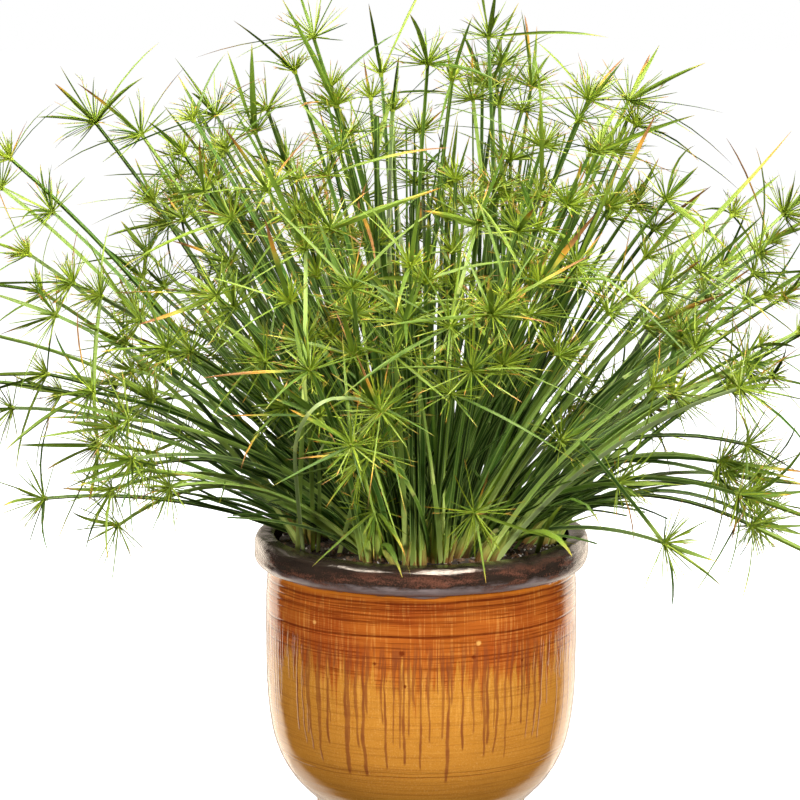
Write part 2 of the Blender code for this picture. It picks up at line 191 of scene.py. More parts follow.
class Finish:
    """A material with a Principled shader, and the wires that its patterns start from."""

    def __init__(self, name, roughness, specular=0.5):
        self.material = bpy.data.materials.new(name)
        self.material.use_nodes = True
        self.tree = self.material.node_tree
        self.shader = self.tree.nodes["Principled BSDF"]
        self.shader.inputs["Roughness"].default_value = roughness
        self.shader.inputs["Specular IOR Level"].default_value = specular
        self.place = self.wire("TexCoord", out=3)

    def wire(self, kind, settings=None, out=0):
        return Wire(self.tree, None).node(kind, settings, out=out)

    def number(self, attribute):
        """A number that the mesh carries at each of its points."""
        return self.wire("Attribute", {"attribute_name": attribute}, out=2)

    def wear(self, colour, roughness=None, height=None, distance=0.001):
        """Links the finished patterns to the shader."""
        self.tree.links.new(colour.socket, self.shader.inputs["Base Color"])
        if roughness:
            self.tree.links.new(roughness.socket, self.shader.inputs["Roughness"])
        if height:
            bump = height.node("Bump", None, {"Height": height, "Distance": distance})
            self.tree.links.new(bump.socket, self.shader.inputs["Normal"])
        return self.material


# %% [markdown]
# ## Where the eye stands
#
# The view is that of a long lens a little over two metres away, looking slightly down. It comes
# first because the places of the umbels are given as they show from there.

# %% The camera
EYE = Vector((-0.018, -2.18, 0.67))
LENS_MM = 118
LOOK_DOWN = math.radians(8.3)
camera_data = bpy.data.cameras.new("camera")
camera_data.lens = LENS_MM
camera = bpy.data.objects.new("camera", camera_data)
camera.location = EYE
camera.rotation_euler = (math.pi / 2 - LOOK_DOWN, 0, 0)
bpy.context.scene.collection.objects.link(camera)
bpy.context.scene.camera = camera
print("camera at", tuple(round(x, 3) for x in EYE))

# %% [markdown]
# ## The pot
#
# The real pot is thrown on a wheel: a round body that swells above a small foot, and a heavy rim
# rolled over at the top. A lathe shape is made as on the wheel. Its outline is drawn as a chain of
# points from the axis out, up the outside and down the inside, and is then spun round.

# %% The pot's outline
FOOT_RADIUS = 0.089
FOOT_HEIGHT = 0.012
FOOT_EDGE = 0.0015
FOOT_SIDE = 0.007
FOOT_GROOVE = 0.001
BODY_OUTLINE = (
    (0.1106, 0.034),
    (0.1241, 0.0605),
    (0.1305, 0.096),
    (0.1322, 0.140),
    (0.1321, 0.183),
    (0.1308, 0.208),
)
NECK_RADIUS = 0.1305
NECK_FILLET = 0.0012
WALL = 0.010
FLOOR_TOP = 0.014
RIM_TOP = 0.2436
RIM_BOTTOM = 0.2126
RIM_RADIUS = 0.1412
RIM_INSIDE = 0.1245
RIM_ROLL = 0.007
RIM_UNDER_ROLL = 0.010
RIM_FLAT = (0.1325, 0.1303)
RIM_INNER_ROLL = 0.0035
# The straight stretches of the rim stand out by a hair.
HAIR = 0.0001
RIM_DIP = 0.007
RIM_WAIST = 0.2215
DIP_POWER = 1.5
POT_SIDES = 400
BODY_ROWS = 13


def through(points, count):
    """A smooth line through the points, with this many steps from each to the next."""
    padded = [2 * Vector(points[0]) - Vector(points[1]), *map(Vector, points)]
    padded.append(2 * padded[-1] - padded[-2])
    line = []
    for a, b, c, d in zip(padded, padded[1:], padded[2:], padded[3:]):
        for i in range(count):
            t = i / count
            line.append(
                (2 * b + (c - a) * t + (2 * a - 5 * b + 4 * c - d) * t * t
                 + (3 * b - a - 3 * c + d) * t ** 3) / 2
            )
    return line + [Vector(points[-1])]


def arc(out, up, radius, start, end, steps):
    """A round stretch of an outline, by its middle, radius and angles in degrees."""
    angles = [math.radians(start + (end - start) * i / steps) for i in range(steps + 1)]
    return [Vector((out + radius * math.cos(a), up + radius * math.sin(a))) for a in angles]


def pot_outline():
    foot = [(0, 0), (FOOT_RADIUS - FOOT_EDGE, 0)]
    foot += [(FOOT_RADIUS, up) for up in (FOOT_EDGE, FOOT_SIDE, FOOT_HEIGHT - FOOT_GROOVE)]
    body = through([(FOOT_RADIUS + FOOT_GROOVE, FOOT_HEIGHT), *BODY_OUTLINE], BODY_ROWS)
    under, over = RIM_BOTTOM + RIM_UNDER_ROLL, RIM_TOP - RIM_ROLL
    rim = [
        *arc(NECK_RADIUS + NECK_FILLET, RIM_BOTTOM - NECK_FILLET, NECK_FILLET, 180, 90, 3),
        *arc(RIM_RADIUS - RIM_UNDER_ROLL, under, RIM_UNDER_ROLL, -84, 0, 12),
        *[(RIM_RADIUS + HAIR, under + (over - under) * share) for share in (0.25, 0.5, 0.75)],
        *arc(RIM_RADIUS - RIM_ROLL, over, RIM_ROLL, 2, 90, 10),
        *[(out, RIM_TOP + HAIR) for out in RIM_FLAT],
        *arc(RIM_INSIDE + RIM_INNER_ROLL, RIM_TOP - RIM_INNER_ROLL, RIM_INNER_ROLL, 90, 180, 6),
    ]
    inside = [(out - WALL, up) for out, up in reversed(BODY_OUTLINE)]
    inside += [(FOOT_RADIUS - WALL, FLOOR_TOP), (0, FLOOR_TOP)]
    return [(point[0], point[1]) for point in (*foot, *body, *rim, *inside)]


def spun(name, outline, sides):
    """A closed round shape: one point is drawn out along the outline, which is then spun."""
    start_piece()
    bpy.ops.mesh.primitive_plane_add(size=0.01, enter_editmode=True)
    bpy.ops.mesh.merge(type="CENTER")
    bpy.ops.transform.translate(value=(outline[0][0], 0, outline[0][1]))
    for (out, up), (next_out, next_up) in zip(outline, outline[1:]):
        step = (next_out - out, 0, next_up - up)
        bpy.ops.mesh.extrude_region_move(TRANSFORM_OT_translate={"value": step})
    bpy.ops.mesh.select_all(action="SELECT")
    bpy.ops.mesh.spin(steps=sides, angle=math.tau, center=(0, 0, 0), axis=(0, 0, 1))
    bpy.ops.mesh.select_all(action="SELECT")
    bpy.ops.mesh.remove_doubles(threshold=0.00002)
    bpy.ops.mesh.normals_make_consistent(inside=False)
    return close_piece(name)


outline = pot_outline()
pot = spun("glazed_pot", outline, POT_SIDES)
print("pot:", len(outline), "points in its outline,", triangles(pot), "triangles")

# %% [markdown]
# A potter's fingers leave fine ridges that climb round the wall, and no thrown pot is perfectly
# round. Its heavy rim sags towards the front and is wavy along its roll. All of it is real shape,
# so the points of the mesh move a little: the wall in and out, and the rim down as well.

# %% Throwing ridges and the dip of the rim
RIDGE = 0.00022
RIDGES_PER_METRE = 900
RIDGE_CLIMB = 0.002
OUT_OF_ROUND = 0.0005
RIM_WAVE = 0.0009
WAVE_FADE = 0.010
# The uneven wall is set in by this, so that the fine pot does not outgrow the plain one.
INSET = 0.0005


def points_of(piece):
    places = np.empty(len(piece.data.vertices) * 3, np.float32)
    piece.data.vertices.foreach_get("co", places)
    return places.reshape(-1, 3).astype(float)


def move_points(piece, places):
    piece.data.vertices.foreach_set("co", places.astype(np.float32).ravel())
    piece.data.update()


def rim_dip(y, z):
    """How far the rim lies under its full height, the most at the front."""
    share = min(max((z - RIM_WAIST) / (RIM_TOP - RIM_WAIST), 0), 1)
    return RIM_DIP * share * (max(1 - y / RIM_RADIUS, 0) / 2) ** DIP_POWER


places = points_of(pot)
for i, (x, y, z) in enumerate(places):
    out = math.hypot(x, y)
    if FOOT_RADIUS - FOOT_GROOVE < out and z > FOOT_HEIGHT:
        climb = z + RIDGE_CLIMB * math.atan2(y, x) / math.tau
        ridge = noise.noise((x * 4, y * 4, climb * RIDGES_PER_METRE / 3)) * RIDGE
        sway = noise.noise((x * 9, y * 9, z * 7)) * OUT_OF_ROUND
        wave = noise.noise((x * 38, y * 38, z * 160)) * RIM_WAVE if z > RIM_BOTTOM else 0
        places[i, :2] *= 1 + (ridge + sway + wave - INSET) / out
        places[i, 2] += wave * min(max((z - RIM_BOTTOM) / WAVE_FADE, 0), 1) - rim_dip(y, z)
move_points(pot, places)
bpy.ops.object.shade_smooth_by_angle(angle=math.radians(50))
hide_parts("pot")
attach(pot, "root")

# %% [markdown]
# The glaze is one thick glass in two colours. A dark iron brown covers the rim. Under it the body
# starts red-brown, and where the brown glaze ran it hangs in thin drips over a honey amber. Most of
# it is worked out from the height and from the way round the pot, because that is how glaze runs.

# %% Glaze on the pot
# The strong drips at the front: how far round in degrees, how low in metres and half how wide.
STRONG_DRIPS = (
    (-51, 0.089, 0.0011), (-36, 0.084, 0.0012), (-28.2, 0.060, 0.0021), (-21.3, 0.060, 0.0018),
    (-13.2, 0.068, 0.0011), (-6.5, 0.072, 0.0012), (-0.6, 0.068, 0.0010), (9.1, 0.056, 0.0016),
    (14.3, 0.084, 0.0010), (23.7, 0.087, 0.0014), (38, 0.100, 0.0011), (48, 0.112, 0.0010),
    (-64, 0.110, 0.0012), (60, 0.130, 0.0012), (97, 0.070, 0.0018), (-118, 0.075, 0.0016),
)
# Dark rings that a finger left: how high, half how wide and how dark.
GROOVES = (
    (0.2062, 0.0008, 0.9), (0.2010, 0.0006, 0.7), (0.1958, 0.0009, 0.6), (0.1905, 0.0005, 0.5),
    (0.1787, 0.0008, 0.95), (0.1690, 0.0005, 0.4), (0.1608, 0.0006, 0.45), (0.0640, 0.0006, 0.35),
    (0.0605, 0.0005, 0.45),
)
# Pits and blisters: how far round in degrees, how high, the radius, and whether it is pale.
BLEMISHES = (
    (-7.2, 0.1656, 0.0019, 0), (-17.0, 0.1562, 0.0012, 0), (18.2, 0.1614, 0.0015, 0),
    (-6.1, 0.1385, 0.0012, 0), (37.9, 0.1537, 0.0011, 0), (-41.7, 0.1839, 0.0014, 1),
    (20.1, 0.1726, 0.0016, 1), (112, 0.150, 0.0014, 0), (-140, 0.170, 0.0015, 1),
)
# The radius that turns an angle into a length along the wall, at the drips and at the brown band.
DRIP_RADIUS = 0.128
BAND_RADIUS = 0.131
# How much of a run is needed for the brown to reach a height, which is in shares of 20 cm.
RUN_NEEDED = (
    (0.28, 0.85), (0.50, 0.70), (0.62, 0.61), (0.70, 0.55), (0.78, 0.46), (0.86, 0.36), (0.95, 0.20),
)
# The layers of thin drips: how many go round, a number that sets their pattern, the highest and
# the lowest end in metres, and how wide a drip is as a share of its place.
DRIP_LAYERS = (
    (118, 3.0, 0.165, 0.082, 0.17), (86, 11.0, 0.158, 0.072, 0.15), (60, 23.0, 0.150, 0.062, 0.12),
)
HONEY = (0.50, 0.205, 0.026)
HONEY_PALE = (0.66, 0.31, 0.055)
HONEY_RING = (0.27, 0.088, 0.012)
HONEY_FLECK = (0.68, 0.38, 0.12)
HONEY_PIT = (0.28, 0.10, 0.018)
ORANGE = (0.56, 0.165, 0.015)
RED_BROWN = (0.405, 0.102, 0.013)
DARK_RED = (0.33, 0.066, 0.010)
STREAK_GOLD = (0.70, 0.33, 0.070)
RING_ORANGE = (0.62, 0.25, 0.045)
BLISTER_GOLD = (0.70, 0.36, 0.09)
PIT_BROWN = (0.13, 0.018, 0.004)
DEEP_BROWN = (0.115, 0.016, 0.003)
DRIP_BROWN = (0.20, 0.050, 0.015)
RIM_BLACK = (0.027, 0.018, 0.013)
RIM_RED = (0.155, 0.060, 0.036)
RIM_FLOOR_REFLECTION = (0.29, 0.225, 0.215)
CLAY = (0.40, 0.26, 0.15)

glaze = Finish("honey_glaze", roughness=0.12)
x, y, height = (glaze.place.node("SeparateXYZ", None, {0: glaze.place}, out=i) for i in range(3))
way_round = x.sum("ARCTAN2", x, y * -1)
fine_streaks = glaze.place.stretched(1, 1, 0.035).noise(430, 3, 0.6)
broad_streaks = glaze.place.stretched(1, 1, 0.05).noise(150, 2)
clouds = glaze.place.noise(16, 3)
specks = glaze.place.noise(750, 3, 0.75)
level = height + (clouds - 0.5) * 0.004 - x * 0.012
rings = glaze.place.stretched(0.02, 0.02, 1).noise(620, 4, 0.7)
beads = glaze.place.stretched(1, 1, 0.5).noise(140, 3).ease(0.30, 0.70)


def line(number, scale, offset=0.0):
    """Noise along one number, from 0 to 1."""
    values = {"W": number * scale + offset, "Scale": 1.0, "Detail": 2.0}
    return number.node("TexNoise", {"noise_dimensions": "1D"}, values)


def either(*masks):
    found = masks[0]
    for mask in masks[1:]:
        found = found.sum("MAXIMUM", found, mask)
    return found


def strong_drip(degrees, lowest, wide):
    sway = (line(height, 28, degrees) - 0.5) * 0.0035
    aside = abs((way_round - math.radians(degrees)) * DRIP_RADIUS + sway)
    above = height - lowest
    narrow = wide * (0.62 + above.ease(0.0, 0.010) * 0.23 - above.ease(0.030, 0.070) * 0.35)
    narrow = narrow * (0.78 + beads * 0.40)
    return aside.ease(narrow * 1.5, narrow * 0.6) * above.ease(-0.0015, 0.0025)


def groove(at, wide, dark):
    return abs(level - at).ease(wide * 1.7, wide * 0.3) * dark


def drip_layer(cells, shift, highest, lowest, wide):
    """Thin drips side by side all round the pot, each with its own length, place and width."""
    turn = way_round * (cells / math.tau) + (line(height, 20, shift) - 0.5) * 0.45
    cell = turn.sum("FLOOR", turn)
    chance, other = (
        turn.node("TexWhiteNoise", {"noise_dimensions": "1D"}, {"W": cell + shift + 0.5 + more})
        for more in (0, 500)
    )
    end = highest - chance * chance * (highest - lowest)
    aside = abs(turn - cell - 0.5 + (other - 0.5) * 0.4)
    half = wide * (0.38 + other * 0.40) * (0.8 + (height - end).ease(0.004, 0.05) * 0.5)
    half = half * (0.70 + beads * 0.55)
    return aside.ease(half * 1.4, half * 0.7) * (height - end).ease(-0.001, 0.004)


def blemish(degrees, at, radius):
    aside = (way_round - math.radians(degrees)) * BAND_RADIUS
    apart = aside * aside + (height - at) * (height - at)
    return apart.sum("SQRT", apart) / radius


# The brown glaze covers all at the top, and further down only where it ran.
flow = height + way_round.sum("COSINE", way_round * 2) * 0.010 + (clouds - 0.5) * 0.02
need = (flow / 0.2).ramp(*[(place, (grey,) * 3) for place, grey in RUN_NEEDED])
run = fine_streaks * 0.42 + broad_streaks * 0.48 + clouds * 0.10
cover = (run - need).ease(-0.05, 0.05)
thin_drips = either(*[drip_layer(*layer) for layer in DRIP_LAYERS]) * (0.55 + broad_streaks * 0.7)
strong_drips = either(*[strong_drip(*drip) for drip in STRONG_DRIPS]) * height.ease(0.172, 0.150)
drips = either(thin_drips * 0.90 * height.ease(0.180, 0.160), strong_drips)
pale = glaze.place.stretched(1, 1, 0.05).noise(520, 2).ease(0.50, 0.68)
dark_rings = either(*[groove(*ring) for ring in GROOVES])
fine_rings = rings.ease(0.47, 0.66)
low_down = height.ease(0.135, 0.085)

honey = (pale * (0.5 - low_down * 0.4)).mix(HONEY, HONEY_PALE)
honey = (fine_rings * 0.50).mix(honey, HONEY_RING)
honey = (rings.ease(0.42, 0.25) * 0.35).mix(honey, HONEY_PALE)
honey = (specks.ease(0.52, 0.72) * 0.40).mix(honey, HONEY_FLECK)
honey = (specks.ease(0.44, 0.28) * 0.40).mix(honey, HONEY_PIT)
brown = clouds.ease(0.40, 0.62).mix(RED_BROWN, DARK_RED)
brown = (pale * (1 - fine_rings) * 0.36).mix(brown, STREAK_GOLD)
brown = (fine_rings * 0.75).mix(brown, DEEP_BROWN)
brown = (rings.ease(0.44, 0.28) * 0.40).mix(brown, RING_ORANGE)
body = (cover * (0.45 + height.ease(0.07, 0.165) * 0.55)).mix(honey, brown)
body = (drips * (0.66 + beads * 0.22)).mix(body, DRIP_BROWN)
under_rim = (height + (clouds - 0.5) * 0.012).ease(0.2060, 0.2110) * (0.9 - fine_rings * 0.7)
body = under_rim.mix(body, ORANGE)
body = (dark_rings * (0.5 + broad_streaks * 0.7)).mix(body, DEEP_BROWN)
for degrees, at, radius, is_pale in BLEMISHES:
    spot = blemish(degrees, at, radius * 1.6) + (specks - 0.5)
    body = (spot.ease(1.1, 0.35) * 0.9).mix(body, BLISTER_GOLD if is_pale else PIT_BROWN)

mottle = glaze.place.stretched(0.45, 0.45, 1.8).noise(75, 5, 0.65)
waves = glaze.place.stretched(0.25, 0.25, 1).noise(200, 3, 0.6)
below_roll = (height + (clouds - 0.5) * 0.02).ease(0.2370, 0.2270)
red_part = (mottle + (specks - 0.5) * 0.7).ease(0.42, 0.72) * below_roll
rim = red_part.mix(RIM_BLACK, RIM_RED)
# Painted reflection: the lower edge of the rim is streaked grey, for the white floor in its gloss.
floor_reflection = (height + (mottle - 0.5) * 0.016).ease(0.2220, 0.2160) * (0.35 + waves)
rim = floor_reflection.mix(rim, RIM_FLOOR_REFLECTION)
on_rim = (height + (clouds + mottle - 1) * 0.007).ease(0.2112, 0.2126)
coat = on_rim.mix(body, rim)
on_foot = height.ease(0.016, 0.010)
coat = (on_foot * 0.8).mix(coat, CLAY)
relief = drips * 0.4 + cover * 0.15 + specks * 0.06 - dark_rings * 0.5 + rings * 0.25
relief = relief + on_rim * (waves * 1.5 + mottle * 1.8 + specks * 0.15)
shine = 0.03 + specks * 0.07 + on_foot * 0.4
pot.data.materials.append(glaze.wear(coat, shine, relief, distance=0.0005))
print("glaze:", len(glaze.tree.nodes), "nodes")

# %% [markdown]
# ## How the plant grows
#
# The next cells work out the same stems as the plain model: where each tuft sits in the soil, how
# its stems bend and where their umbels are. The stems are placed one by one, and one that would
# touch another is moved until it is free. The plain model made them by these rules too, so the fine
# plant below stands exactly where the plain one does.

# %% The places of the umbels
SOIL_EDGE = 0.2320
SOIL_RISE = 0.005
CROWN_RADIUS = 0.0102
CROWN_HEIGHT = 0.009
CROWN_SUNK = 0.006
SEAT_COUNT = 57
SEAT_SPREAD = 0.1082
SEAT_START = 2.2
SEAT_TURN = math.pi * (3 - math.sqrt(5))
SEAT_LEAN = 0.42

# Bare soil at the front left and right: how far each patch is across, how far it is behind the
# pot's axis, and its radius.
BARE_PATCHES = (
    (-0.081, -0.065, 0.035),
    (0.084, -0.062, 0.033),
)

# The front of the plant, tuft by tuft, as it shows to the eye. First comes how far behind the
# pot's axis the tuft ends, then where its main umbels show in the upright plane through that
# axis: across from it and up from the ground, all in centimetres.
FRONT_TUFTS = (
    (5, (-27.0, 58.4), (-23.2, 57.4)),
    (-5, (-19.7, 55.8), (-18.9, 58.6), (-17.7, 53.0)),
    (-4, (-34.1, 55.4), (-34.9, 53.0), (-30.7, 51.0)),
    (10, (-20.5, 51.1), (-24.0, 48.8), (-22.0, 51.1)),
    (-8, (-30.2, 42.6), (-29.0, 45.2), (-26.8, 44.0)),
    (9, (-22.8, 47.5), (-23.3, 45.5), (-24.0, 43.1)),
    (-10, (-31.7, 27.4), (-27.7, 28.0)),
    (-14, (-27.6, 35.9), (-24.6, 33.6), (-24.9, 31.1)),
    (4, (-34.4, 34.5), (-37.5, 36.8), (-37.9, 41.1)),
    (-12, (-19.3, 39.3), (-20.2, 36.4), (-22.3, 36.1)),
    (-15, (-17.1, 44.0), (-13.1, 38.4)),
    (8, (-17.1, 58.9), (-16.5, 55.7), (-16.8, 53.7)),
    (0, (-13.8, 57.6), (-12.7, 59.5), (-11.1, 55.1)),
    (-3, (-10.5, 62.6), (-8.9, 65.4), (-7.1, 59.8)),
    (-6, (-6.8, 56.1), (-7.8, 54.0), (-10.2, 53.8)),
    (-12, (-9.7, 47.9), (-7.6, 49.6), (-12.8, 52.8)),
    (-20, (-5.9, 44.6), (-11.0, 43.5)),
    (8, (-3.3, 62.4), (-4.2, 60.4), (-2.4, 59.3)),
    (-5, (0.1, 62.9), (2.5, 61.9), (0.3, 56.5)),
    (6, (5.5, 65.4), (4.2, 60.3), (5.8, 60.2)),
    (-8, (2.8, 53.7), (4.6, 50.0)),
    (-20, (0.4, 45.2), (-1.3, 41.8), (-2.2, 38.9)),
    (-22, (5.9, 42.4), (2.4, 41.4), (4.2, 37.7)),
    (10, (7.8, 61.6), (10.4, 61.2), (9.8, 59.3)),
    (-6, (9.8, 57.1), (12.7, 58.7), (13.7, 60.2)),
    (-12, (8.0, 49.4), (9.7, 49.7), (12.1, 51.6)),
    (4, (17.1, 60.2), (17.8, 58.2), (16.0, 56.0)),
    (-4, (20.3, 52.0), (15.5, 51.4), (14.7, 56.0)),
    (-18, (12.9, 46.6), (9.8, 45.0), (9.0, 42.4)),
    (7, (25.8, 50.7), (30.1, 50.8)),
    (-2, (28.1, 47.5), (27.7, 45.8), (28.6, 43.9)),
    (-10, (23.2, 46.0), (19.8, 44.1), (16.0, 42.7)),
    (5, (30.2, 44.1), (31.1, 41.8), (34.8, 43.7)),
    (-12, (22.9, 39.6), (21.4, 35.9), (27.1, 38.4)),
    (-16, (20.5, 32.3), (18.8, 25.4)),
    (-8, (25.1, 30.2), (26.8, 30.1), (27.6, 27.0)),
    (-2, (30.7, 27.4), (28.4, 25.0)),
    (-17, (-2.9, 27.6), (-3.4, 34.9), (-6.8, 33.0)),
    (-20, (-0.3, 36.1), (-0.8, 34.7), (-4.5, 33.8)),
)

# The back of the plant: where each tuft's main umbel is, as its way round the axis in degrees,
# how far out it is and how high, in centimetres.
BACK_TUFTS = (
    (14, 27, 37),
    (30, 31, 45),
    (47, 25, 33),
    (60, 21, 52),
    (76, 29, 41),
    (90, 14, 57),
    (97, 26, 34),
    (114, 24, 49),
    (128, 30, 39),
    (146, 22, 54),
    (160, 30, 33),
)


def seen_from_eye(across, up, behind):
    """The place behind the pot's axis that the eye sees at this place in the axis plane."""
    return EYE + (Vector((across, 0, up)) - EYE) * ((behind - EYE.y) / -EYE.y)


def main_umbels():
    """The places of each tuft's main umbels."""
    tufts = []
    for behind, *umbels in FRONT_TUFTS:
        tufts.append([seen_from_eye(x / 100, z / 100, behind / 100) for x, z in umbels])
    for degrees, out, up in BACK_TUFTS:
        turn = math.radians(degrees)
        tufts.append([Vector((out * math.cos(turn), out * math.sin(turn), up)) / 100])
    return tufts


def soil_height(radius):
    return SOIL_EDGE + SOIL_RISE * (1 - (radius / RIM_INSIDE) ** 2)


def seats_for(tufts):
    """A place for each tuft in a sunflower's pattern on the soil: the free one nearest its lean."""
    free = []
    for i in range(SEAT_COUNT):
        out = SEAT_SPREAD * math.sqrt((i + 0.5) / SEAT_COUNT)
        turn = SEAT_START + i * SEAT_TURN
        seat = Vector((out * math.cos(turn), out * math.sin(turn)))
        if all((seat - Vector((x, y))).length > radius for x, y, radius in BARE_PATCHES):
            free.append(seat)
    leans = [sum(umbels, Vector()).xy / len(umbels) for umbels in tufts]
    seats = {}
    for i in sorted(range(len(tufts)), key=lambda i: -leans[i].length):
        seats[i] = min(free, key=lambda seat: (seat - leans[i] * SEAT_LEAN).length)
        free.remove(seats[i])
    return [seats[i] for i in range(len(tufts))]


print(len(FRONT_TUFTS), "tufts at the front,", len(BACK_TUFTS), "at the back")

# %% [markdown]
# A stem is thought of as a chain of thin rods. Two stems are clear of each other when every rod of
# one is further from every rod of the other than their radii together.

# %% Room between stems
STEM_TRIES = 150
CLEARANCE = 0.0005
POT_CLEARANCE = 0.004
POT_PROBES = 7


class Rods:
    """The straight runs placed so far, each with a radius and an owner, and the room beside them."""

    def __init__(self):
        self.starts = np.empty((0, 3))
        self.runs = np.empty((0, 3))
        self.radii = np.empty(0)
        self.owners = np.empty(0, int)

    def add(self, points, radii, owner):
        points = np.array(points)
        self.starts = np.vstack((self.starts, points[:-1]))
        self.runs = np.vstack((self.runs, np.diff(points, axis=0)))
        self.radii = np.append(self.radii, radii)
        self.owners = np.append(self.owners, np.full(len(points) - 1, owner))

    def distances(self, start, end):
        """The least distance from one run to each run placed so far."""
        run = end - start
        apart = start - self.starts
        length2 = run @ run
        lengths2 = np.einsum("ij,ij->i", self.runs, self.runs)
        across = self.runs @ run
        own = apart @ run
        theirs = np.einsum("ij,ij->i", self.runs, apart)
        twist = np.maximum(length2 * lengths2 - across * across, 1e-12)
        here = np.clip((across * theirs - own * lengths2) / twist, 0, 1)
        there = (across * here + theirs) / lengths2
        at_start = np.clip(-own / length2, 0, 1)
        at_end = np.clip((across - own) / length2, 0, 1)
        here = np.where(there < 0, at_start, np.where(there > 1, at_end, here))
        there = np.clip(there, 0, 1)
        between = apart + here[:, None] * run - there[:, None] * self.runs
        return np.sqrt(np.einsum("ij,ij->i", between, between))

    def free(self, points, radii, owner):
        """Whether the rod through these points stays clear of all the rods of other owners."""
        others = self.owners != owner
        for start, end, radius in zip(points, points[1:], radii):
            room = self.distances(np.array(start), np.array(end)) - self.radii - radius
            if (room[others] < CLEARANCE).any():
                return False
        return True


def clear_of_pot(points):
    """Whether a rod keeps above the soil and the rim, or outside the pot."""
    for start, end in zip(points, points[1:]):
        for share in np.linspace(0, 1, POT_PROBES):
            place = start.lerp(end, share)
            out = math.hypot(place.x, place.y)
            if out < RIM_INSIDE - POT_CLEARANCE:
                lowest = RIM_TOP - POT_CLEARANCE
            elif out < RIM_RADIUS + POT_CLEARANCE:
                lowest = RIM_TOP + POT_CLEARANCE
            else:
                lowest = POT_CLEARANCE
            if place.z < lowest:
                return False
    return True


# %% [markdown]
# Each stem is one smooth bow from its tuft to its umbel. It sags more the flatter it lies.

# %% Stems and tufts
FEWEST_STEMS = 5
STEM_THICKNESS = (0.85, 1.12)
STEM_SEAT = 0.66
STEM_COLLAR = 0.008
STEM_RADIUS = 0.0028
STEM_TIP_RADIUS = 0.0016
STEM_SAG = math.radians(4)
STEM_SAG_FLAT = math.radians(32)
SAG_FOR_MORE_RINGS = math.radians(14)
STEM_BOW = math.radians(1)
STEM_MORE_BOW = math.radians(18)
STEM_SHIFT = 0.045
LESSER_REACH = (0.72, 0.98)
LESSER_ASIDE = (0.015, 0.045)
LESSER_TRIES = 30
BETWEEN_HUBS = 0.020


class Stem:
    """One stem: a curve from its crown to its umbel, which sags more the flatter it lies."""

    def __init__(self, base, hub, bow, thickness):
        chord = hub - base
        flat = Vector((chord.x, chord.y, 0))
        rise = math.atan2(chord.z, flat.length)
        self.sag = STEM_SAG + STEM_SAG_FLAT * (1 - math.sin(max(rise, 0))) + bow
        start = rise + self.sag
        ahead = flat.normalized() * math.cos(start) + Vector((0, 0, math.sin(start)))
        self.base = base
        self.hub = hub
        self.bend = base + ahead * (chord.length / 2 / math.cos(self.sag))
        self.radius = STEM_RADIUS * thickness
        self.tips = []

    def at(self, t):
        return self.base * (1 - t) ** 2 + self.bend * 2 * t * (1 - t) + self.hub * t * t

    def ahead(self, t):
        return ((self.bend - self.base) * (1 - t) + (self.hub - self.bend) * t).normalized()

    def radius_at(self, t):
        return self.radius + (STEM_TIP_RADIUS - self.radius) * t

    def stations(self):
        """Where along the stem its rods end, from the collar to the umbel."""
        collar = STEM_COLLAR / (self.hub - self.base).length
        count = 4 if self.sag > SAG_FOR_MORE_RINGS else 3
        return [collar + (1 - collar) * i / count for i in range(count + 1)]

    def frames(self, inward):
        """The ways ahead, aside and across at each station, turned as little as possible."""
        side = inward
        frames = []
        for t in self.stations():
            ahead = self.ahead(t)
            side = (side - ahead * side.dot(ahead)).normalized()
            frames.append((ahead, side, ahead.cross(side)))
        return frames


class Tuft:
    """One crown with its stems, and with None where a stem found no room."""

    def __init__(self, crown, turn, count):
        self.crown = crown
        self.turn = turn
        self.step = math.tau / count
        self.stems = []

    def inward(self, i):
        """The way from a stem's foot to the middle of its crown."""
        angle = self.turn + self.step * i
        return -Vector((math.cos(angle), math.sin(angle), 0))


def order_round_crown(crown, hubs):
    """The hubs in their order round the bundle that leads to them, and that bundle's turn."""
    middle = sum(hubs, Vector()) / len(hubs)
    upright = (middle - crown).rotation_difference(Vector((0, 0, 1)))
    sides = [upright @ (hub - middle) for hub in hubs]
    turns = [math.atan2(side.y, side.x) % math.tau for side in sides]
    order = sorted(range(len(hubs)), key=lambda i: turns[i])
    step = math.tau / len(hubs)
    drift = sum(math.remainder(turns[j] - i * step, math.tau) for i, j in enumerate(order))
    return [hubs[i] for i in order], drift / len(hubs)


def with_lesser_umbels(rng, crown, main, count, taken):
    """The main umbels of a tuft and lesser ones near them, as many as it has stems."""
    hubs = list(main)
    while len(hubs) < count:
        leader = rng.choice(main)
        for _ in range(LESSER_TRIES):
            aside = Vector([rng.gauss(0, 1) for _ in range(3)]).normalized()
            aside *= rng.uniform(*LESSER_ASIDE)
            hub = crown + (leader - crown) * rng.uniform(*LESSER_REACH) + aside
            if all((hub - other).length > BETWEEN_HUBS for other in hubs + taken):
                break
        hubs.append(hub)
    return hubs


def clear_stem(rng, rods, base, hub, crown_owner):
    """A stem whose bow and tip have moved until it touches no other, or None if there is no room."""
    for attempt in range(STEM_TRIES):
        freedom = attempt / STEM_TRIES
        shift = Vector([rng.uniform(-1, 1) for _ in range(3)]) * STEM_SHIFT * freedom
        bow = rng.uniform(-1, 1) * (STEM_BOW + STEM_MORE_BOW * freedom)
        stem = Stem(base, hub + shift, bow, rng.uniform(*STEM_THICKNESS))
        stations = stem.stations()
        points = [stem.at(t) for t in stations] + [stem.hub + stem.ahead(1) * HUB_LENGTH]
        radii = [stem.radius_at(t) for t in stations[:-1]] + [HUB_RADIUS]
        if clear_of_pot(points) and rods.free(points, radii, crown_owner):
            stem.owner = len(rods.radii)
            rods.add(points, radii, stem.owner)
            return stem
    return None


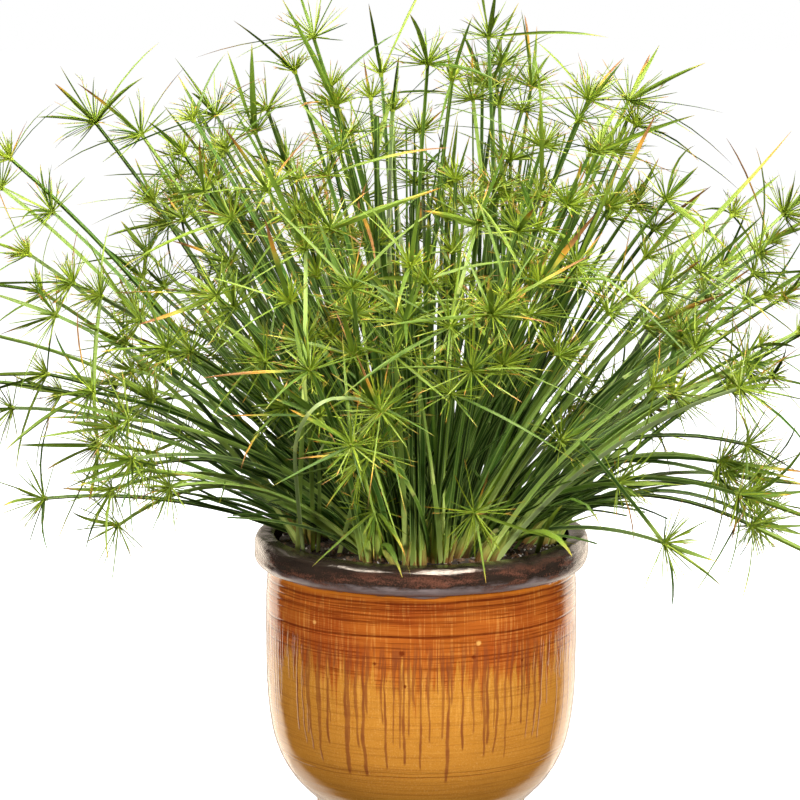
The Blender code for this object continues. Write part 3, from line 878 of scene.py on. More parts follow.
def grow_stems(rng, rods):
    """Every tuft with its stems, none touching another."""
    mains = main_umbels()
    crowns = []
    for owner, seat in enumerate(seats_for(mains)):
        top = soil_height(seat.length) + CROWN_HEIGHT - CROWN_SUNK
        crowns.append(Vector((*seat, top)))
        ends = [(*seat, top - CROWN_RADIUS - CROWN_HEIGHT), (*seat, top - CROWN_RADIUS)]
        rods.add(ends, [CROWN_RADIUS], owner)
    taken = []
    tufts = []
    for owner, (crown, main) in enumerate(zip(crowns, mains)):
        count = FEWEST_STEMS + owner % 2
        hubs, turn = order_round_crown(crown, with_lesser_umbels(rng, crown, main, count, taken))
        taken += hubs
        tuft = Tuft(crown, turn, count)
        for i, hub in enumerate(hubs):
            base = crown - tuft.inward(i) * CROWN_RADIUS * STEM_SEAT
            tuft.stems.append(clear_stem(rng, rods, base, hub, owner))
        tufts.append(tuft)
    return tufts


# %% [markdown]
# Round the tip of each stem come a few long bracts, which are leaves, and many short rays. The
# plain model has six spikes round each tip and one on top, and these are the same spikes.

# %% Bracts and the whole plant
SIXTH = math.tau / 6
HUB_RADIUS = 0.0030
HUB_LENGTH = 0.0045
BRACT_COUNTS = (2, 2, 3)
BRACT_LENGTH = (0.055, 0.105)
BRACT_LEAN = (math.radians(58), math.radians(98))
RAY_LENGTH = (0.030, 0.042)
RAY_LEAN = (math.radians(45), math.radians(85))
TOP_LEAN = math.radians(12)
SPIKE_SWAY = math.radians(18)
SPIKE_RADIUS = 0.0015
SPIKE_TRIES = 14
SHORTEST_SPIKE = 0.007
SEED = 2


def grow_umbel(rng, rods, stem, inward):
    """The tips of the six spikes round a stem's hub and of the one on top of it."""
    ahead, side, across = stem.frames(inward)[-1]
    bracts = rng.sample(range(6), rng.choice(BRACT_COUNTS))
    for i in range(7):
        for attempt in range(SPIKE_TRIES):
            lengths, leans = (BRACT_LENGTH, BRACT_LEAN) if i in bracts else (RAY_LENGTH, RAY_LEAN)
            if i == 6:
                leans = (0, TOP_LEAN)
            lean = rng.uniform(*leans)
            turn = SIXTH * i + rng.uniform(-1, 1) * SPIKE_SWAY
            outward = side * math.cos(turn) + across * math.sin(turn)
            way = ahead * math.cos(lean) + outward * math.sin(lean)
            length = max(rng.uniform(*lengths) * (1 - attempt / SPIKE_TRIES), SHORTEST_SPIKE)
            points = [stem.hub + way * HUB_LENGTH, stem.hub + way * (HUB_LENGTH + length)]
            if clear_of_pot(points) and rods.free(points, [SPIKE_RADIUS], stem.owner):
                rods.add(points, [SPIKE_RADIUS], stem.owner)
                stem.tips.append(points[1])
                break
        else:
            stem.tips.append(None)
    stem.bracts = bracts


def grow_plant():
    """The whole plant: its tufts, with their stems and umbels."""
    rng = random.Random(SEED)
    rods = Rods()
    tufts = grow_stems(rng, rods)
    for tuft in tufts:
        for i, stem in enumerate(tuft.stems):
            if stem:
                grow_umbel(rng, rods, stem, tuft.inward(i))
    return tufts


tufts = grow_plant()
drift = 0
for name, tuft in zip(TUFT_NODES, tufts):
    low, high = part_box(name)
    ends = [point for stem in tuft.stems if stem for point in (stem.hub, *stem.tips) if point]
    drift = max([drift] + [low[i] - p[i] for p in ends for i in range(3)])
    drift = max([drift] + [p[i] - high[i] for p in ends for i in range(3)])
stems = [stem for tuft in tufts for stem in tuft.stems if stem]
print(len(stems), "stems; the furthest that one leaves its node:", round(drift, 5), "m")

# %% [markdown]
# ## One of each, to be copied
#
# The plant has hundreds of stems and thousands of rays, but few kinds of piece. Each kind is
# modelled once, one metre long and one metre in radius, straight up. A copy is later laid along
# its own curve with its own width. A piece that is there thousands of times has very few faces.


# %% [markdown]
# The stem of a papyrus is three-sided with blunt edges, so it starts as a triangle whose corners
# are cut, and is drawn up step by step.

# %% The stem, the sheath, the ray, the bract and the hub
class Pattern:
    """The points and faces of a modelled piece, kept as tables so that copies are quick."""

    def __init__(self, piece, finish):
        mesh = piece.data
        self.points = points_of(piece)
        self.faces = [list(face.vertices) for face in mesh.polygons]
        self.finish = finish
        bpy.data.objects.remove(piece)


def drawn_section(name, sides, rings, blunt=0.0, spread=(1, 1)):
    """A section drawn up from 0 to 1 through rings, each a height and a width."""
    start_piece()
    bpy.ops.mesh.primitive_circle_add(
        vertices=sides, radius=1, fill_type="NGON", enter_editmode=True
    )
    if blunt:
        bpy.ops.mesh.bevel(affect="VERTICES", offset=blunt, segments=2, profile=0.6)
    bpy.ops.transform.resize(value=(spread[0], spread[1], 1))
    up, wide = rings[0]
    bpy.ops.transform.resize(value=(wide, wide, 1))
    for next_up, next_wide in rings[1:]:
        draw_up(next_up - up, next_wide / wide)
        up, wide = next_up, next_wide
    bpy.ops.mesh.select_all(action="SELECT")
    bpy.ops.mesh.normals_make_consistent(inside=False)
    return close_piece(name)


CULM, SHEATH, RAY, BRACT, SPIKELET = range(5)
STEM_ROWS = 14
BLADE_FOLD = 0.38
MOUTH_SLANT = 0.16
stem_rings = [(i / STEM_ROWS, 1.0) for i in range(STEM_ROWS + 1)]
stem_pattern = Pattern(drawn_section("stem", 3, stem_rings, blunt=0.34), CULM)
sheath_rings = [(0, 1.0), (0.35, 1.0), (0.7, 0.98), (0.93, 0.95), (1.0, 0.86)]
sheath_pattern = Pattern(drawn_section("sheath", 7, sheath_rings), SHEATH)
ray_rings = [(0, 1.0), (0.3, 0.9), (0.6, 0.8), (0.85, 0.65), (1.0, 0.18)]
ray_pattern = Pattern(drawn_section("ray", 3, ray_rings), RAY)
bract_rings = [(0, 0.62), (0.06, 0.8), (0.2, 1.0), (0.4, 0.98), (0.6, 0.82), (0.78, 0.58),
               (0.92, 0.27), (1.0, 0.04)]
bract_pattern = Pattern(drawn_section("bract", 4, bract_rings, spread=(1, 0.14)), BRACT)
spikelet_rings = [(0, 0.1), (0.35, 1.0), (0.7, 0.8), (1.0, 0.05)]
spikelet_pattern = Pattern(drawn_section("spikelet", 3, spikelet_rings), SPIKELET)
hub_rings = [(0, 0.6), (0.3, 1.0), (0.65, 1.05), (0.9, 0.7), (1.0, 0.3)]
hub_pattern = Pattern(drawn_section("hub", 6, hub_rings), RAY)

# The blade of a bract is folded along its middle, so its two edges are lifted.
edges = np.abs(bract_pattern.points[:, 0])
bract_pattern.points[:, 1] += BLADE_FOLD * edges
# The mouth of a sheath is cut at a slant.
mouth = sheath_pattern.points[:, 2] > 0.9
sheath_pattern.points[mouth, 2] -= MOUTH_SLANT * (1 - sheath_pattern.points[mouth, 0])
for pattern in (stem_pattern, sheath_pattern, ray_pattern, bract_pattern, spikelet_pattern):
    print("pattern", pattern.finish, len(pattern.faces), "faces")

# %% [markdown]
# A copy follows a curve with a start, a bend and an end. Every copy carries three numbers for its
# finish: how far along it a point is, its own tone, and how old and dry it is. It also has its own
# strip on a flat map, so that no two copies share a place on it.


# %% Laying copies along curves
# For each finish: its share of the flat map for each copy, and how many copies lie side by side.
MAP_SHARES = (6.0, 1.5, 0.55, 2.2, 0.3)
MAP_LANES = (1, 4, 8, 2, 16)
# A strip and its part of the map: the rest is a gap beside and above it.
STRIP_SIZE = (0.96, 0.86)
# The way round is divided by this, since a face over its seam reaches past one full turn.
STRIP_ROOM = 1.35
ANY_SIDE = Vector((0.31, 0.87, 0.22))


class Growth:
    """The copies that make up one piece, gathered as tables and made into a mesh at the end."""

    def __init__(self):
        self.copies = {}

    def lay(self, pattern, start, bend, end, width, end_width=None, tone=0.0, age=0.0,
            turn=0.0, twist=0.0, side=None):
        end_width = width if end_width is None else end_width
        row = (*start, *bend, *end, width, end_width, tone, age, turn, twist, *(side or ANY_SIDE))
        self.copies.setdefault(id(pattern), (pattern, []))[1].append(row)

    def placed(self, pattern, rows):
        """The points of all copies of one pattern, as a table copy by copy."""
        rows = np.array(rows)[:, None, :]
        start, bend, end = rows[..., 0:3], rows[..., 3:6], rows[..., 6:9]
        width, end_width, turn, twist = (rows[..., i] for i in (9, 10, 13, 14))
        side = rows[..., 15:18]
        local = pattern.points[None]
        t = local[..., 2:3]
        middle = start * (1 - t) ** 2 + bend * 2 * t * (1 - t) + end * t ** 2
        ahead = (bend - start) * (1 - t) + (end - bend) * t
        ahead /= np.linalg.norm(ahead, axis=-1, keepdims=True)
        plane = np.cross(bend - start, end - bend)
        straight = np.linalg.norm(plane, axis=-1, keepdims=True) < 1e-9
        plane = np.where(straight, np.cross(end - start, side), plane)
        plane /= np.linalg.norm(plane, axis=-1, keepdims=True)
        across = np.cross(plane, ahead)
        angle = turn + twist * t[..., 0]
        cos, sin = np.cos(angle), np.sin(angle)
        size = width + (end_width - width) * t[..., 0]
        x = (local[..., 0] * cos - local[..., 1] * sin) * size
        y = (local[..., 0] * sin + local[..., 1] * cos) * size
        points = middle + plane * x[..., None] + across * y[..., None]
        shape = points.shape[:2]
        along = np.broadcast_to(t[..., 0], shape)
        tone = np.broadcast_to(rows[..., 11], shape)
        age = np.broadcast_to(rows[..., 12], shape)
        return points, along, tone, age

    def mesh(self, name, materials):
        points, along, tone, age, faces, slots, strips = [], [], [], [], [], [], []
        first = 0
        for pattern, rows in self.copies.values():
            made = self.placed(pattern, rows)
            for store, table in zip((points, along, tone, age), made):
                store.append(table.reshape(-1, *table.shape[2:]))
            for _ in rows:
                faces += [[first + v for v in face] for face in pattern.faces]
                first += len(pattern.points)
            slots += [pattern.finish] * (len(pattern.faces) * len(rows))
            strips.append((pattern, len(rows)))
        mesh = bpy.data.meshes.new(name)
        mesh.from_pydata(np.concatenate(points), [], faces)
        for key, table in (("along", along), ("tone", tone), ("age", age)):
            layer = mesh.attributes.new(key, "FLOAT", "POINT")
            layer.data.foreach_set("value", np.concatenate(table).astype(np.float32))
        for material in materials:
            mesh.materials.append(material)
        mesh.polygons.foreach_set("material_index", slots)
        self.map_strips(mesh, strips)
        mesh.set_sharp_from_angle(angle=math.radians(32))
        piece = bpy.data.objects.new(name, mesh)
        bpy.context.scene.collection.objects.link(piece)
        return piece

    @staticmethod
    def map_strips(mesh, strips):
        """Two flat maps: one where each copy fills the square, and one where it has a strip."""
        whole, own = [], []
        shares = {id(pattern): MAP_SHARES[pattern.finish] * count for pattern, count in strips}
        total = sum(shares.values())
        top = 0.0
        for pattern, count in strips:
            lanes = MAP_LANES[pattern.finish]
            rows = math.ceil(count / lanes)
            high = shares[id(pattern)] / total
            single = strip_of(pattern)
            for i in range(count):
                corner = np.array((i % lanes / lanes, top + high * (i // lanes) / rows))
                size = np.array((STRIP_SIZE[0] / lanes, STRIP_SIZE[1] * high / rows))
                whole.append(single)
                own.append(corner + single * size)
            top += high
        for key, table in (("strand", whole), ("OFBake", own)):
            layer = mesh.uv_layers.new(name=key)
            layer.uv.foreach_set("vector", np.concatenate(table).astype(np.float32).ravel())


def strip_of(pattern):
    """The flat map of a pattern: its length runs across and its way round runs up."""
    corners = []
    for face in pattern.faces:
        places = pattern.points[face]
        turns = np.arctan2(places[:, 1], places[:, 0]) / math.tau % 1
        if len(face) == 4 and np.ptp(turns) > 0.5:
            turns[turns < 0.5] += 1
        corners.append(np.stack((places[:, 2], turns / STRIP_ROOM), axis=1))
    return np.concatenate(corners)


# %% [markdown]
# ## The finishes of the plant
#
# All of them start from how far along its copy a point is. A stem is straw-brown where it leaves
# the soil, pale above that, and then green with a tone of its own. A stem of low tone is painted
# near black along its middle, as painted shade among the crowded stems, and one of high tone is
# painted pale low down, as painted light. The three blunt edges of a stem carry a painted
# highlight. A bract dries from its tip, so its colour turns where its age says.

# %% Greens and browns
LEAF_SHEEN = 0.15
CULM_BLUISH = (0.050, 0.160, 0.028)
CULM_PAINTED_SHADE = (0.010, 0.030, 0.003)
CULM_LIGHT = (0.32, 0.46, 0.080)
CULM_PALE_AND_LIT_FOOT = (0.70, 0.80, 0.21)
CULM_EDGE_HIGHLIGHT = (0.42, 0.60, 0.14)
CULM_PALE_LINE = (0.36, 0.45, 0.11)
CULM_DARK_LINE = (0.024, 0.052, 0.006)
CULM_AGED = (0.34, 0.40, 0.18)
SHEATH_RUST = (0.24, 0.085, 0.030)
RAY_DEEP = (0.058, 0.135, 0.009)
RAY_BRIGHT = (0.355, 0.445, 0.032)
RAY_PAINTED_GLOW = (0.43, 0.54, 0.060)
RAY_DRY = (0.50, 0.23, 0.035)
BRACT_DEEP = (0.042, 0.112, 0.012)
BRACT_BRIGHT = (0.245, 0.350, 0.032)
BRACT_LINE = (0.38, 0.48, 0.11)
BRACT_YELLOW = (0.50, 0.44, 0.055)
BRACT_ORANGE = (0.58, 0.29, 0.035)
BRACT_BROWN = (0.32, 0.15, 0.045)


def strand_noise(finish, lines, stretch):
    """Fine lines along a copy, each copy with its own."""
    flat = finish.wire("UVMap", {"uv_map": "strand"})
    tone = finish.number("tone")
    u, v = (flat.node("SeparateXYZ", None, {0: flat}, out=i) for i in range(2))
    place = flat.node("CombineXYZ", None, {0: u * stretch, 1: v * lines, 2: tone * 37})
    return place.noise(1.0, 3, 0.6)


def culm_edge_highlights(finish):
    """The painted highlight: 1 along the three blunt edges of a culm, and 0 on its faces."""
    flat = finish.wire("UVMap", {"uv_map": "strand"})
    turn = flat.node("SeparateXYZ", None, {0: flat}, out=1) * (3 * STRIP_ROOM) + 0.25
    return abs(turn.sum("FRACT", turn) - 0.5).ease(0.31, 0.45)


# The colours of a culm from the soil to its umbel.
CULM_COLOURS = (
    (0.0, (0.16, 0.100, 0.030)), (0.02, (0.40, 0.40, 0.120)), (0.09, (0.52, 0.64, 0.105)),
    (0.24, (0.125, 0.245, 0.034)), (0.55, (0.068, 0.156, 0.017)), (1.0, (0.12, 0.215, 0.020)),
)


def culm_green():
    finish = Finish("culm_green", roughness=0.42, specular=LEAF_SHEEN)
    along, tone, age = map(finish.number, ("along", "tone", "age"))
    other = tone.sum("FRACT", tone * 17.3)
    grain = strand_noise(finish, 40, 2.5)
    patches = strand_noise(finish, 3, 7)
    colour = (along + (patches - 0.5) * 0.06).ramp(*CULM_COLOURS)
    colour = (other.ease(0.50, 0.30) * 0.45).mix(colour, CULM_BLUISH)
    # Painted shade: a stem of low tone turns near black along its middle, less at its foot and tip.
    shade_from_tone = tone.ease(0.59, 0.22)
    depth = shade_from_tone * along.ease(0.04, 0.20) * (0.93 - along.ease(0.5, 0.95) * 0.33)
    colour = depth.mix(colour, CULM_PAINTED_SHADE)
    light = tone.ease(0.52, 0.80)
    colour = (light * 0.80).mix(colour, CULM_LIGHT)
    # The pale foot of a stem, with painted light: a stem of high tone is painted much paler over its
    # lowest part.
    low = along.ease(0.42, 0.08)
    colour = (light * low * 0.9).mix(colour, CULM_PALE_AND_LIT_FOOT)
    # Painted highlight along the blunt edges, stronger low down.
    colour = (culm_edge_highlights(finish) * (0.38 + low * 0.30)).mix(colour, CULM_EDGE_HIGHLIGHT)
    colour = (grain.ease(0.54, 0.70) * 0.45).mix(colour, CULM_PALE_LINE)
    colour = (grain.ease(0.46, 0.28) * 0.50).mix(colour, CULM_DARK_LINE)
    colour = age.mix(colour, CULM_AGED)
    return finish.wear(colour, 0.34 + grain * 0.2, grain, distance=0.0003)


# The colours of a sheath from the soil to its mouth.
SHEATH_COLOURS = (
    (0.0, (0.11, 0.044, 0.015)), (0.20, (0.28, 0.18, 0.045)), (0.42, (0.46, 0.48, 0.10)),
    (0.80, (0.36, 0.50, 0.075)), (1.0, (0.42, 0.52, 0.11)),
)


def sheath_straw():
    finish = Finish("sheath_straw", roughness=0.6, specular=LEAF_SHEEN)
    along, tone, age = map(finish.number, ("along", "tone", "age"))
    grain = strand_noise(finish, 30, 2)
    place = along + (grain - 0.5) * 0.35 - tone * 0.12
    colour = place.ramp(*SHEATH_COLOURS)
    colour = (age * grain.ease(0.3, 0.6)).mix(colour, SHEATH_RUST)
    return finish.wear(colour, None, grain, distance=0.0005)


def ray_green():
    finish = Finish("ray_green", roughness=0.5, specular=LEAF_SHEEN)
    along, tone, age = map(finish.number, ("along", "tone", "age"))
    colour = tone.mix(RAY_DEEP, RAY_BRIGHT)
    # Painted light: near the hub the rays are paler, for the light that shines through them.
    colour = (along.ease(0.40, 0.0) * 0.60).mix(colour, RAY_PAINTED_GLOW)
    dry = (along - (1 - age * 0.9)).ease(-0.05, 0.12)
    colour = dry.mix(colour, RAY_DRY)
    return finish.wear(colour)


def bract_green():
    finish = Finish("bract_green", roughness=0.45, specular=LEAF_SHEEN)
    along, tone, age = map(finish.number, ("along", "tone", "age"))
    grain = strand_noise(finish, 34, 2)
    colour = tone.mix(BRACT_DEEP, BRACT_BRIGHT)
    colour = (grain.ease(0.5, 0.8) * 0.4).mix(colour, BRACT_LINE)
    dryness = along - (1 - age * 0.85) + (grain - 0.5) * 0.08
    colour = dryness.ease(-0.16, 0.02).mix(colour, BRACT_YELLOW)
    colour = dryness.ease(0.0, 0.10).mix(colour, BRACT_ORANGE)
    colour = dryness.ease(0.14, 0.26).mix(colour, BRACT_BROWN)
    return finish.wear(colour, 0.36 + grain * 0.18, grain, distance=0.0003)


# Raylets are green or brown, each by its own tone.
SPIKELET_COLOURS = (
    (0.0, (0.15, 0.24, 0.02)), (0.5, (0.32, 0.42, 0.04)), (0.74, (0.42, 0.44, 0.05)),
    (0.84, (0.50, 0.28, 0.04)), (1.0, (0.28, 0.13, 0.04)),
)


def spikelet_brown():
    finish = Finish("spikelet_brown", roughness=0.6, specular=LEAF_SHEEN)
    tone = finish.number("tone")
    colour = tone.ramp(*SPIKELET_COLOURS)
    return finish.wear(colour)


PLANT_FINISHES = [culm_green(), sheath_straw(), ray_green(), bract_green(), spikelet_brown()]
print([material.name for material in PLANT_FINISHES])

# %% [markdown]
# ## Dressing a tuft
#
# Each umbel gets bracts where the plain model has its spikes, the long ones broader, and a ball of
# rays between them. The rays are spread evenly like seeds on a sunflower and then disturbed, since
# a wild scatter would leave bald places. A young umbel is a small bright brush. Later it opens, and
# a dense old one has more rays, a third of which have split into short raylets.

# %% Umbels
# For each kind of umbel: how many rays and how long, how low the lowest ones point (1 is straight
# on and -1 straight back), their tone, and what share of them has split.
UMBEL_KINDS = {
    "young": ((24, 37), (0.015, 0.025), 0.40, 0.90, 0.10),
    "open": ((22, 35), (0.027, 0.044), -0.20, 0.55, 0.12),
    "dense": ((42, 60), (0.020, 0.034), 0.0, 0.62, 0.34),
}
INNER_MIX = ("young", "open", "open", "open", "dense", "dense")
OUTER_MIX = ("young", "young", "open", "open", "open", "dense")
OUTER_FROM = 0.19
LOW_HUB = 0.34
HIGH_HUB = 0.6
FINE_RAY_RADIUS = (0.00050, 0.00074)
RAY_WANDER = (0, 0.15)
RAY_CURL = (-0.02, 0.12)
RAY_DROOP = (0, 0.05)
HIGHEST_RAY = 0.97
RAY_TURN_SWAY = 0.3
RAY_UNEVENNESS = (0.8, 1.05)
RAY_TONE_SWAY = 0.22
FULLNESS = (0.85, 1.1)
DRY_RAYS = 0.42
RAY_AGE = (0.12, 0.26)
RAYLETS = (2, 2, 3)
RAYLET_PLACE = (0.55, 0.95)
RAYLET_SPREAD = 0.55
RAYLET_LENGTH = (0.005, 0.011)
RAYLET_RADIUS = (0.0003, 0.00045)
KNOB_BELOW = 0.0025
KNOB_ABOVE = 0.004
KNOB_RADIUS = 0.0023
BRACT_WIDTH = (0.0010, 0.0016)
BROAD_BRACT_WIDTH = (0.0015, 0.0024)
# A narrow bract: its width as a share of the least width, and its length as a share of its spike.
NARROW_WIDTH = (0.6, 0.9)
NARROW_REACH = (0.9, 1.2)
UPRIGHT_BRACTS = (0, 1, 1, 2)
UPRIGHT_TONE = (0.15, 0.9)
UPRIGHT_LEAN = (0.05, 0.75)
UPRIGHT_LENGTH = (0.035, 0.090)
BRACT_ARCH = (0.04, 0.16)
BRACT_BEND = (0.4, 0.6)
BRACT_ROLL = (-0.5, 0.5)
BRACT_TWIST = 0.7
# Bracts that are dry over half their length, those that are dry at all, and how dry they are.
HALF_DRY_BRACTS = 0.11
DRY_BRACTS = 0.60
HALF_DRY_AGE = (0.4, 0.9)
DRY_TIP_AGE = (0.03, 0.24)


def any_way(rng):
    return Vector([rng.gauss(0, 1) for _ in range(3)]).normalized()


def in_box(place):
    """The place, moved back into the box of the plain model where it is outside."""
    low, high = SIZE_BEFORE
    return Vector([min(max(x, least), most) for x, least, most in zip(place, low, high)])


def add_ray(growth, rng, hub, way, ahead, length, tone, age, split):
    hook = any_way(rng) * rng.uniform(*RAY_WANDER) + ahead * rng.uniform(*RAY_CURL)
    hook.z -= rng.uniform(*RAY_DROOP)
    bend = hub + way * length * 0.5
    end = bend + (way + hook).normalized() * length * 0.52
    radius = rng.uniform(*FINE_RAY_RADIUS)
    growth.lay(ray_pattern, hub, bend, end, radius, tone=tone, age=age, side=any_way(rng))
    if split:
        for _ in range(rng.choice(RAYLETS)):
            t = rng.uniform(*RAYLET_PLACE)
            place = hub.lerp(bend, t).lerp(bend.lerp(end, t), t)
            aside = (way + any_way(rng) * RAYLET_SPREAD).normalized()
            point = place + aside * rng.uniform(*RAYLET_LENGTH)
            growth.lay(
                spikelet_pattern, place, place.lerp(point, 0.5), point,
                rng.uniform(*RAYLET_RADIUS), tone=rng.random(), side=any_way(rng),
            )


def add_bract(growth, rng, hub, tip, ahead, tone, age, width):
    reach = tip - hub
    lift = ahead * reach.length * rng.uniform(*BRACT_ARCH)
    bend = hub + reach * rng.uniform(*BRACT_BEND) + lift
    # A blade lies with its fold up or down, and is rolled a little to one side.
    growth.lay(
        bract_pattern, hub, bend, tip, width, tone=tone, age=age,
        turn=rng.uniform(*BRACT_ROLL) + math.pi * rng.choice((0, 1)),
        twist=rng.gauss(0, BRACT_TWIST),
        side=ahead,
    )


def dryness(rng):
    """Half of the bracts have a dry tip, and about one in nine is dry over half its length."""
    chance = rng.random()
    if chance < HALF_DRY_BRACTS:
        return rng.uniform(*HALF_DRY_AGE)
    return rng.uniform(*DRY_TIP_AGE) * (chance < DRY_BRACTS)


def add_umbel(growth, rng, stem, inward):
    ahead, side, across = stem.frames(inward)[-1]
    hub = stem.hub
    mix = OUTER_MIX if hub.xy.length > OUTER_FROM and hub.z < HIGH_HUB else INNER_MIX
    kind = rng.choice(mix)
    if hub.z < LOW_HUB:
        kind = "open"
    counts, lengths, lowest, brightness, splitting = UMBEL_KINDS[kind]
    growth.lay(
        hub_pattern, hub - ahead * KNOB_BELOW, hub, hub + ahead * KNOB_ABOVE, KNOB_RADIUS,
        tone=brightness, side=side,
    )
    for i, tip in enumerate(stem.tips):
        if i in stem.bracts and tip:
            width = rng.uniform(*BRACT_WIDTH)
            add_bract(growth, rng, hub, tip, ahead, rng.random(), dryness(rng), width)
        elif tip and i < 6 and kind != "young":
            tip = hub + (tip - hub) * rng.uniform(*NARROW_REACH)
            width = rng.uniform(*NARROW_WIDTH) * BRACT_WIDTH[0]
            add_bract(growth, rng, hub, tip, ahead, rng.random(), dryness(rng), width)
    for _ in range(rng.choice(UPRIGHT_BRACTS)):
        turn, lean = rng.uniform(0, math.tau), rng.uniform(*UPRIGHT_LEAN)
        way = ahead + (side * math.cos(turn) + across * math.sin(turn)) * math.tan(lean)
        tip = in_box(hub + way.normalized() * rng.uniform(*UPRIGHT_LENGTH))
        width = rng.uniform(*BROAD_BRACT_WIDTH)
        add_bract(growth, rng, hub, tip, ahead, rng.uniform(*UPRIGHT_TONE), dryness(rng), width)
    count = round(rng.uniform(*counts))
    fullness = rng.uniform(*FULLNESS)
    phase = rng.uniform(0, math.tau)
    for i in range(count):
        rise = lowest + (HIGHEST_RAY - lowest) * (i + rng.random()) / count
        turn = phase + i * SEAT_TURN + rng.gauss(0, RAY_TURN_SWAY)
        flat = math.sqrt(1 - min(rise * rise, 1))
        way = ahead * rise + (side * math.cos(turn) + across * math.sin(turn)) * flat
        length = rng.uniform(*lengths) * fullness * rng.uniform(*RAY_UNEVENNESS)
        tone = min(max(brightness + rng.gauss(0, RAY_TONE_SWAY), 0), 1)
        age = rng.uniform(*RAY_AGE) if rng.random() < DRY_RAYS else 0.0
        split = rng.random() < splitting
        add_ray(growth, rng, hub, way, ahead, length, tone, age, split)


# %% [markdown]
# A three-sided stem looks thinner than a round one of the same radius, so it is made wider. It
# stands in two short papery sheaths, and old stems that were cut leave dry stubs.

# %% Stems with their sheaths
STEM_SUNK = 0.010
FULL_WIDTH = 1.17
FULL_TIP = 0.0020
SHEATH_REACH = (0.010, 0.034)
SHEATH_WIDTHS = (1.18, 1.36)
SHEATH_MOUTH = 1.08
SHEATH_UNEVENNESS = 0.1
GREEN_STEMS = 0.95
STEM_AGE = (0.2, 0.6)
# The stems in the middle of the pot stand in the shade of the others, so their tone is cut and
# more of them take the painted shade of the culm finish.
SHADED_WITHIN = 0.070
SHADED_TONE = 0.60
# Culms without an umbel stand in the inner tufts, the most of them at the back. Each goes this
# share of the way of a stem, and less far along a stem that leans out.
BARREN_COUNTS = (9, 12)
BARREN_BEHIND = (14, 18)
BARREN_SHARE = (0.48, 1.0)
BARREN_LEANING = 0.70
LEANING_FROM = 0.20
BARREN_TIP = 0.0009
BARREN_TRIES = 12
BARREN_WITHIN = 0.092
BARREN_SWAY = (0.004, 0.018)
BARREN_ASIDE = (0.010, 0.040)
# Culms without an umbel mostly get a low tone, so most take the painted shade of the culm finish.
BARREN_TONE = 0.5
BARREN_WIDTH = 1.1
BLADE_WIDTH = 0.95
BLADE_AGE = 0.04
STUB_COUNTS = (1, 2, 3, 4)
STUB_OUT = (0.006, 0.012)
STUB_LENGTH = (0.014, 0.034)
STUB_RADIUS = (0.0012, 0.0026)
STUB_SWAY = 0.4
STUB_LEAN = 0.3
STUB_BOW = 0.002
STUB_AGE = (0.4, 1.0)


def add_stem(growth, rng, tuft, stem):
    base = stem.base - Vector((0, 0, STEM_SUNK))
    tone = rng.random() * (SHADED_TONE if tuft.crown.xy.length < SHADED_WITHIN else 1)
    age = 0.0 if rng.random() < GREEN_STEMS else rng.uniform(*STEM_AGE)
    growth.lay(
        stem_pattern, base, stem.bend, stem.hub, stem.radius * FULL_WIDTH, FULL_TIP,
        tone=tone, age=age, turn=rng.uniform(0, math.tau), twist=rng.uniform(-0.5, 0.5),
        side=any_way(rng),
    )
    for wide in SHEATH_WIDTHS:
        t = rng.uniform(*SHEATH_REACH) / (stem.hub - stem.base).length
        middle, end = stem.at(t / 2), stem.at(t)
        growth.lay(
            sheath_pattern, base, middle, end,
            stem.radius * rng.uniform(wide - SHEATH_UNEVENNESS, wide), stem.radius * SHEATH_MOUTH,
            tone=rng.random(), age=rng.random() ** 2,
            turn=rng.uniform(0, math.tau), side=any_way(rng),
        )


def add_barren(growth, rng, stem):
    """A culm or blade that follows a stem for a part of its way and ends in a point."""
    least, most = BARREN_SHARE
    share = rng.uniform(least, BARREN_LEANING if stem.hub.xy.length > LEANING_FROM else most)
    base = stem.base - Vector((0, 0, STEM_SUNK))
    for _ in range(BARREN_TRIES):
        bend = stem.base.lerp(stem.bend, share) + any_way(rng) * rng.uniform(*BARREN_SWAY)
        end = in_box(stem.at(share) + any_way(rng) * rng.uniform(*BARREN_ASIDE))
        points = [stem.base.lerp(bend, 2 * t).lerp(bend.lerp(end, t), t) for t in (0.1, 0.3)]
        if clear_of_pot([*points, stem.base.lerp(bend, 0.5).lerp(bend.lerp(end, 0.5), 0.5), end]):
            break
    else:
        return
    pattern = rng.choice((stem_pattern, stem_pattern, bract_pattern))
    wide = stem.radius * (BARREN_WIDTH if pattern is stem_pattern else BLADE_WIDTH)
    growth.lay(
        pattern, base, bend, end, wide, BARREN_TIP if pattern is stem_pattern else wide,
        tone=rng.random() ** 2 * BARREN_TONE, age=BLADE_AGE * (pattern is bract_pattern),
        turn=rng.uniform(0, math.tau), twist=rng.uniform(-0.6, 0.6), side=any_way(rng),
    )


def add_stubs(growth, rng, crown):
    for _ in range(rng.choice(STUB_COUNTS)):
        turn = rng.uniform(0, math.tau)
        out = rng.uniform(*STUB_OUT)
        base = crown + Vector((math.cos(turn) * out, math.sin(turn) * out, -STEM_SUNK))
        outward = Vector((math.cos(turn) * STUB_LEAN, math.sin(turn) * STUB_LEAN, 1))
        lean = any_way(rng) * STUB_SWAY + outward
        end = base + lean.normalized() * rng.uniform(*STUB_LENGTH)
        bend = base.lerp(end, 0.5) + any_way(rng) * STUB_BOW
        growth.lay(
            sheath_pattern, base, bend, end, rng.uniform(*STUB_RADIUS),
            tone=rng.random(), age=rng.uniform(*STUB_AGE), turn=rng.uniform(0, math.tau),
            side=any_way(rng),
        )


# %% [markdown]
# Some culms and leaves stand out at the front, because they are bent, broken, pale or broad. They
# are drawn one by one, each through its own places.

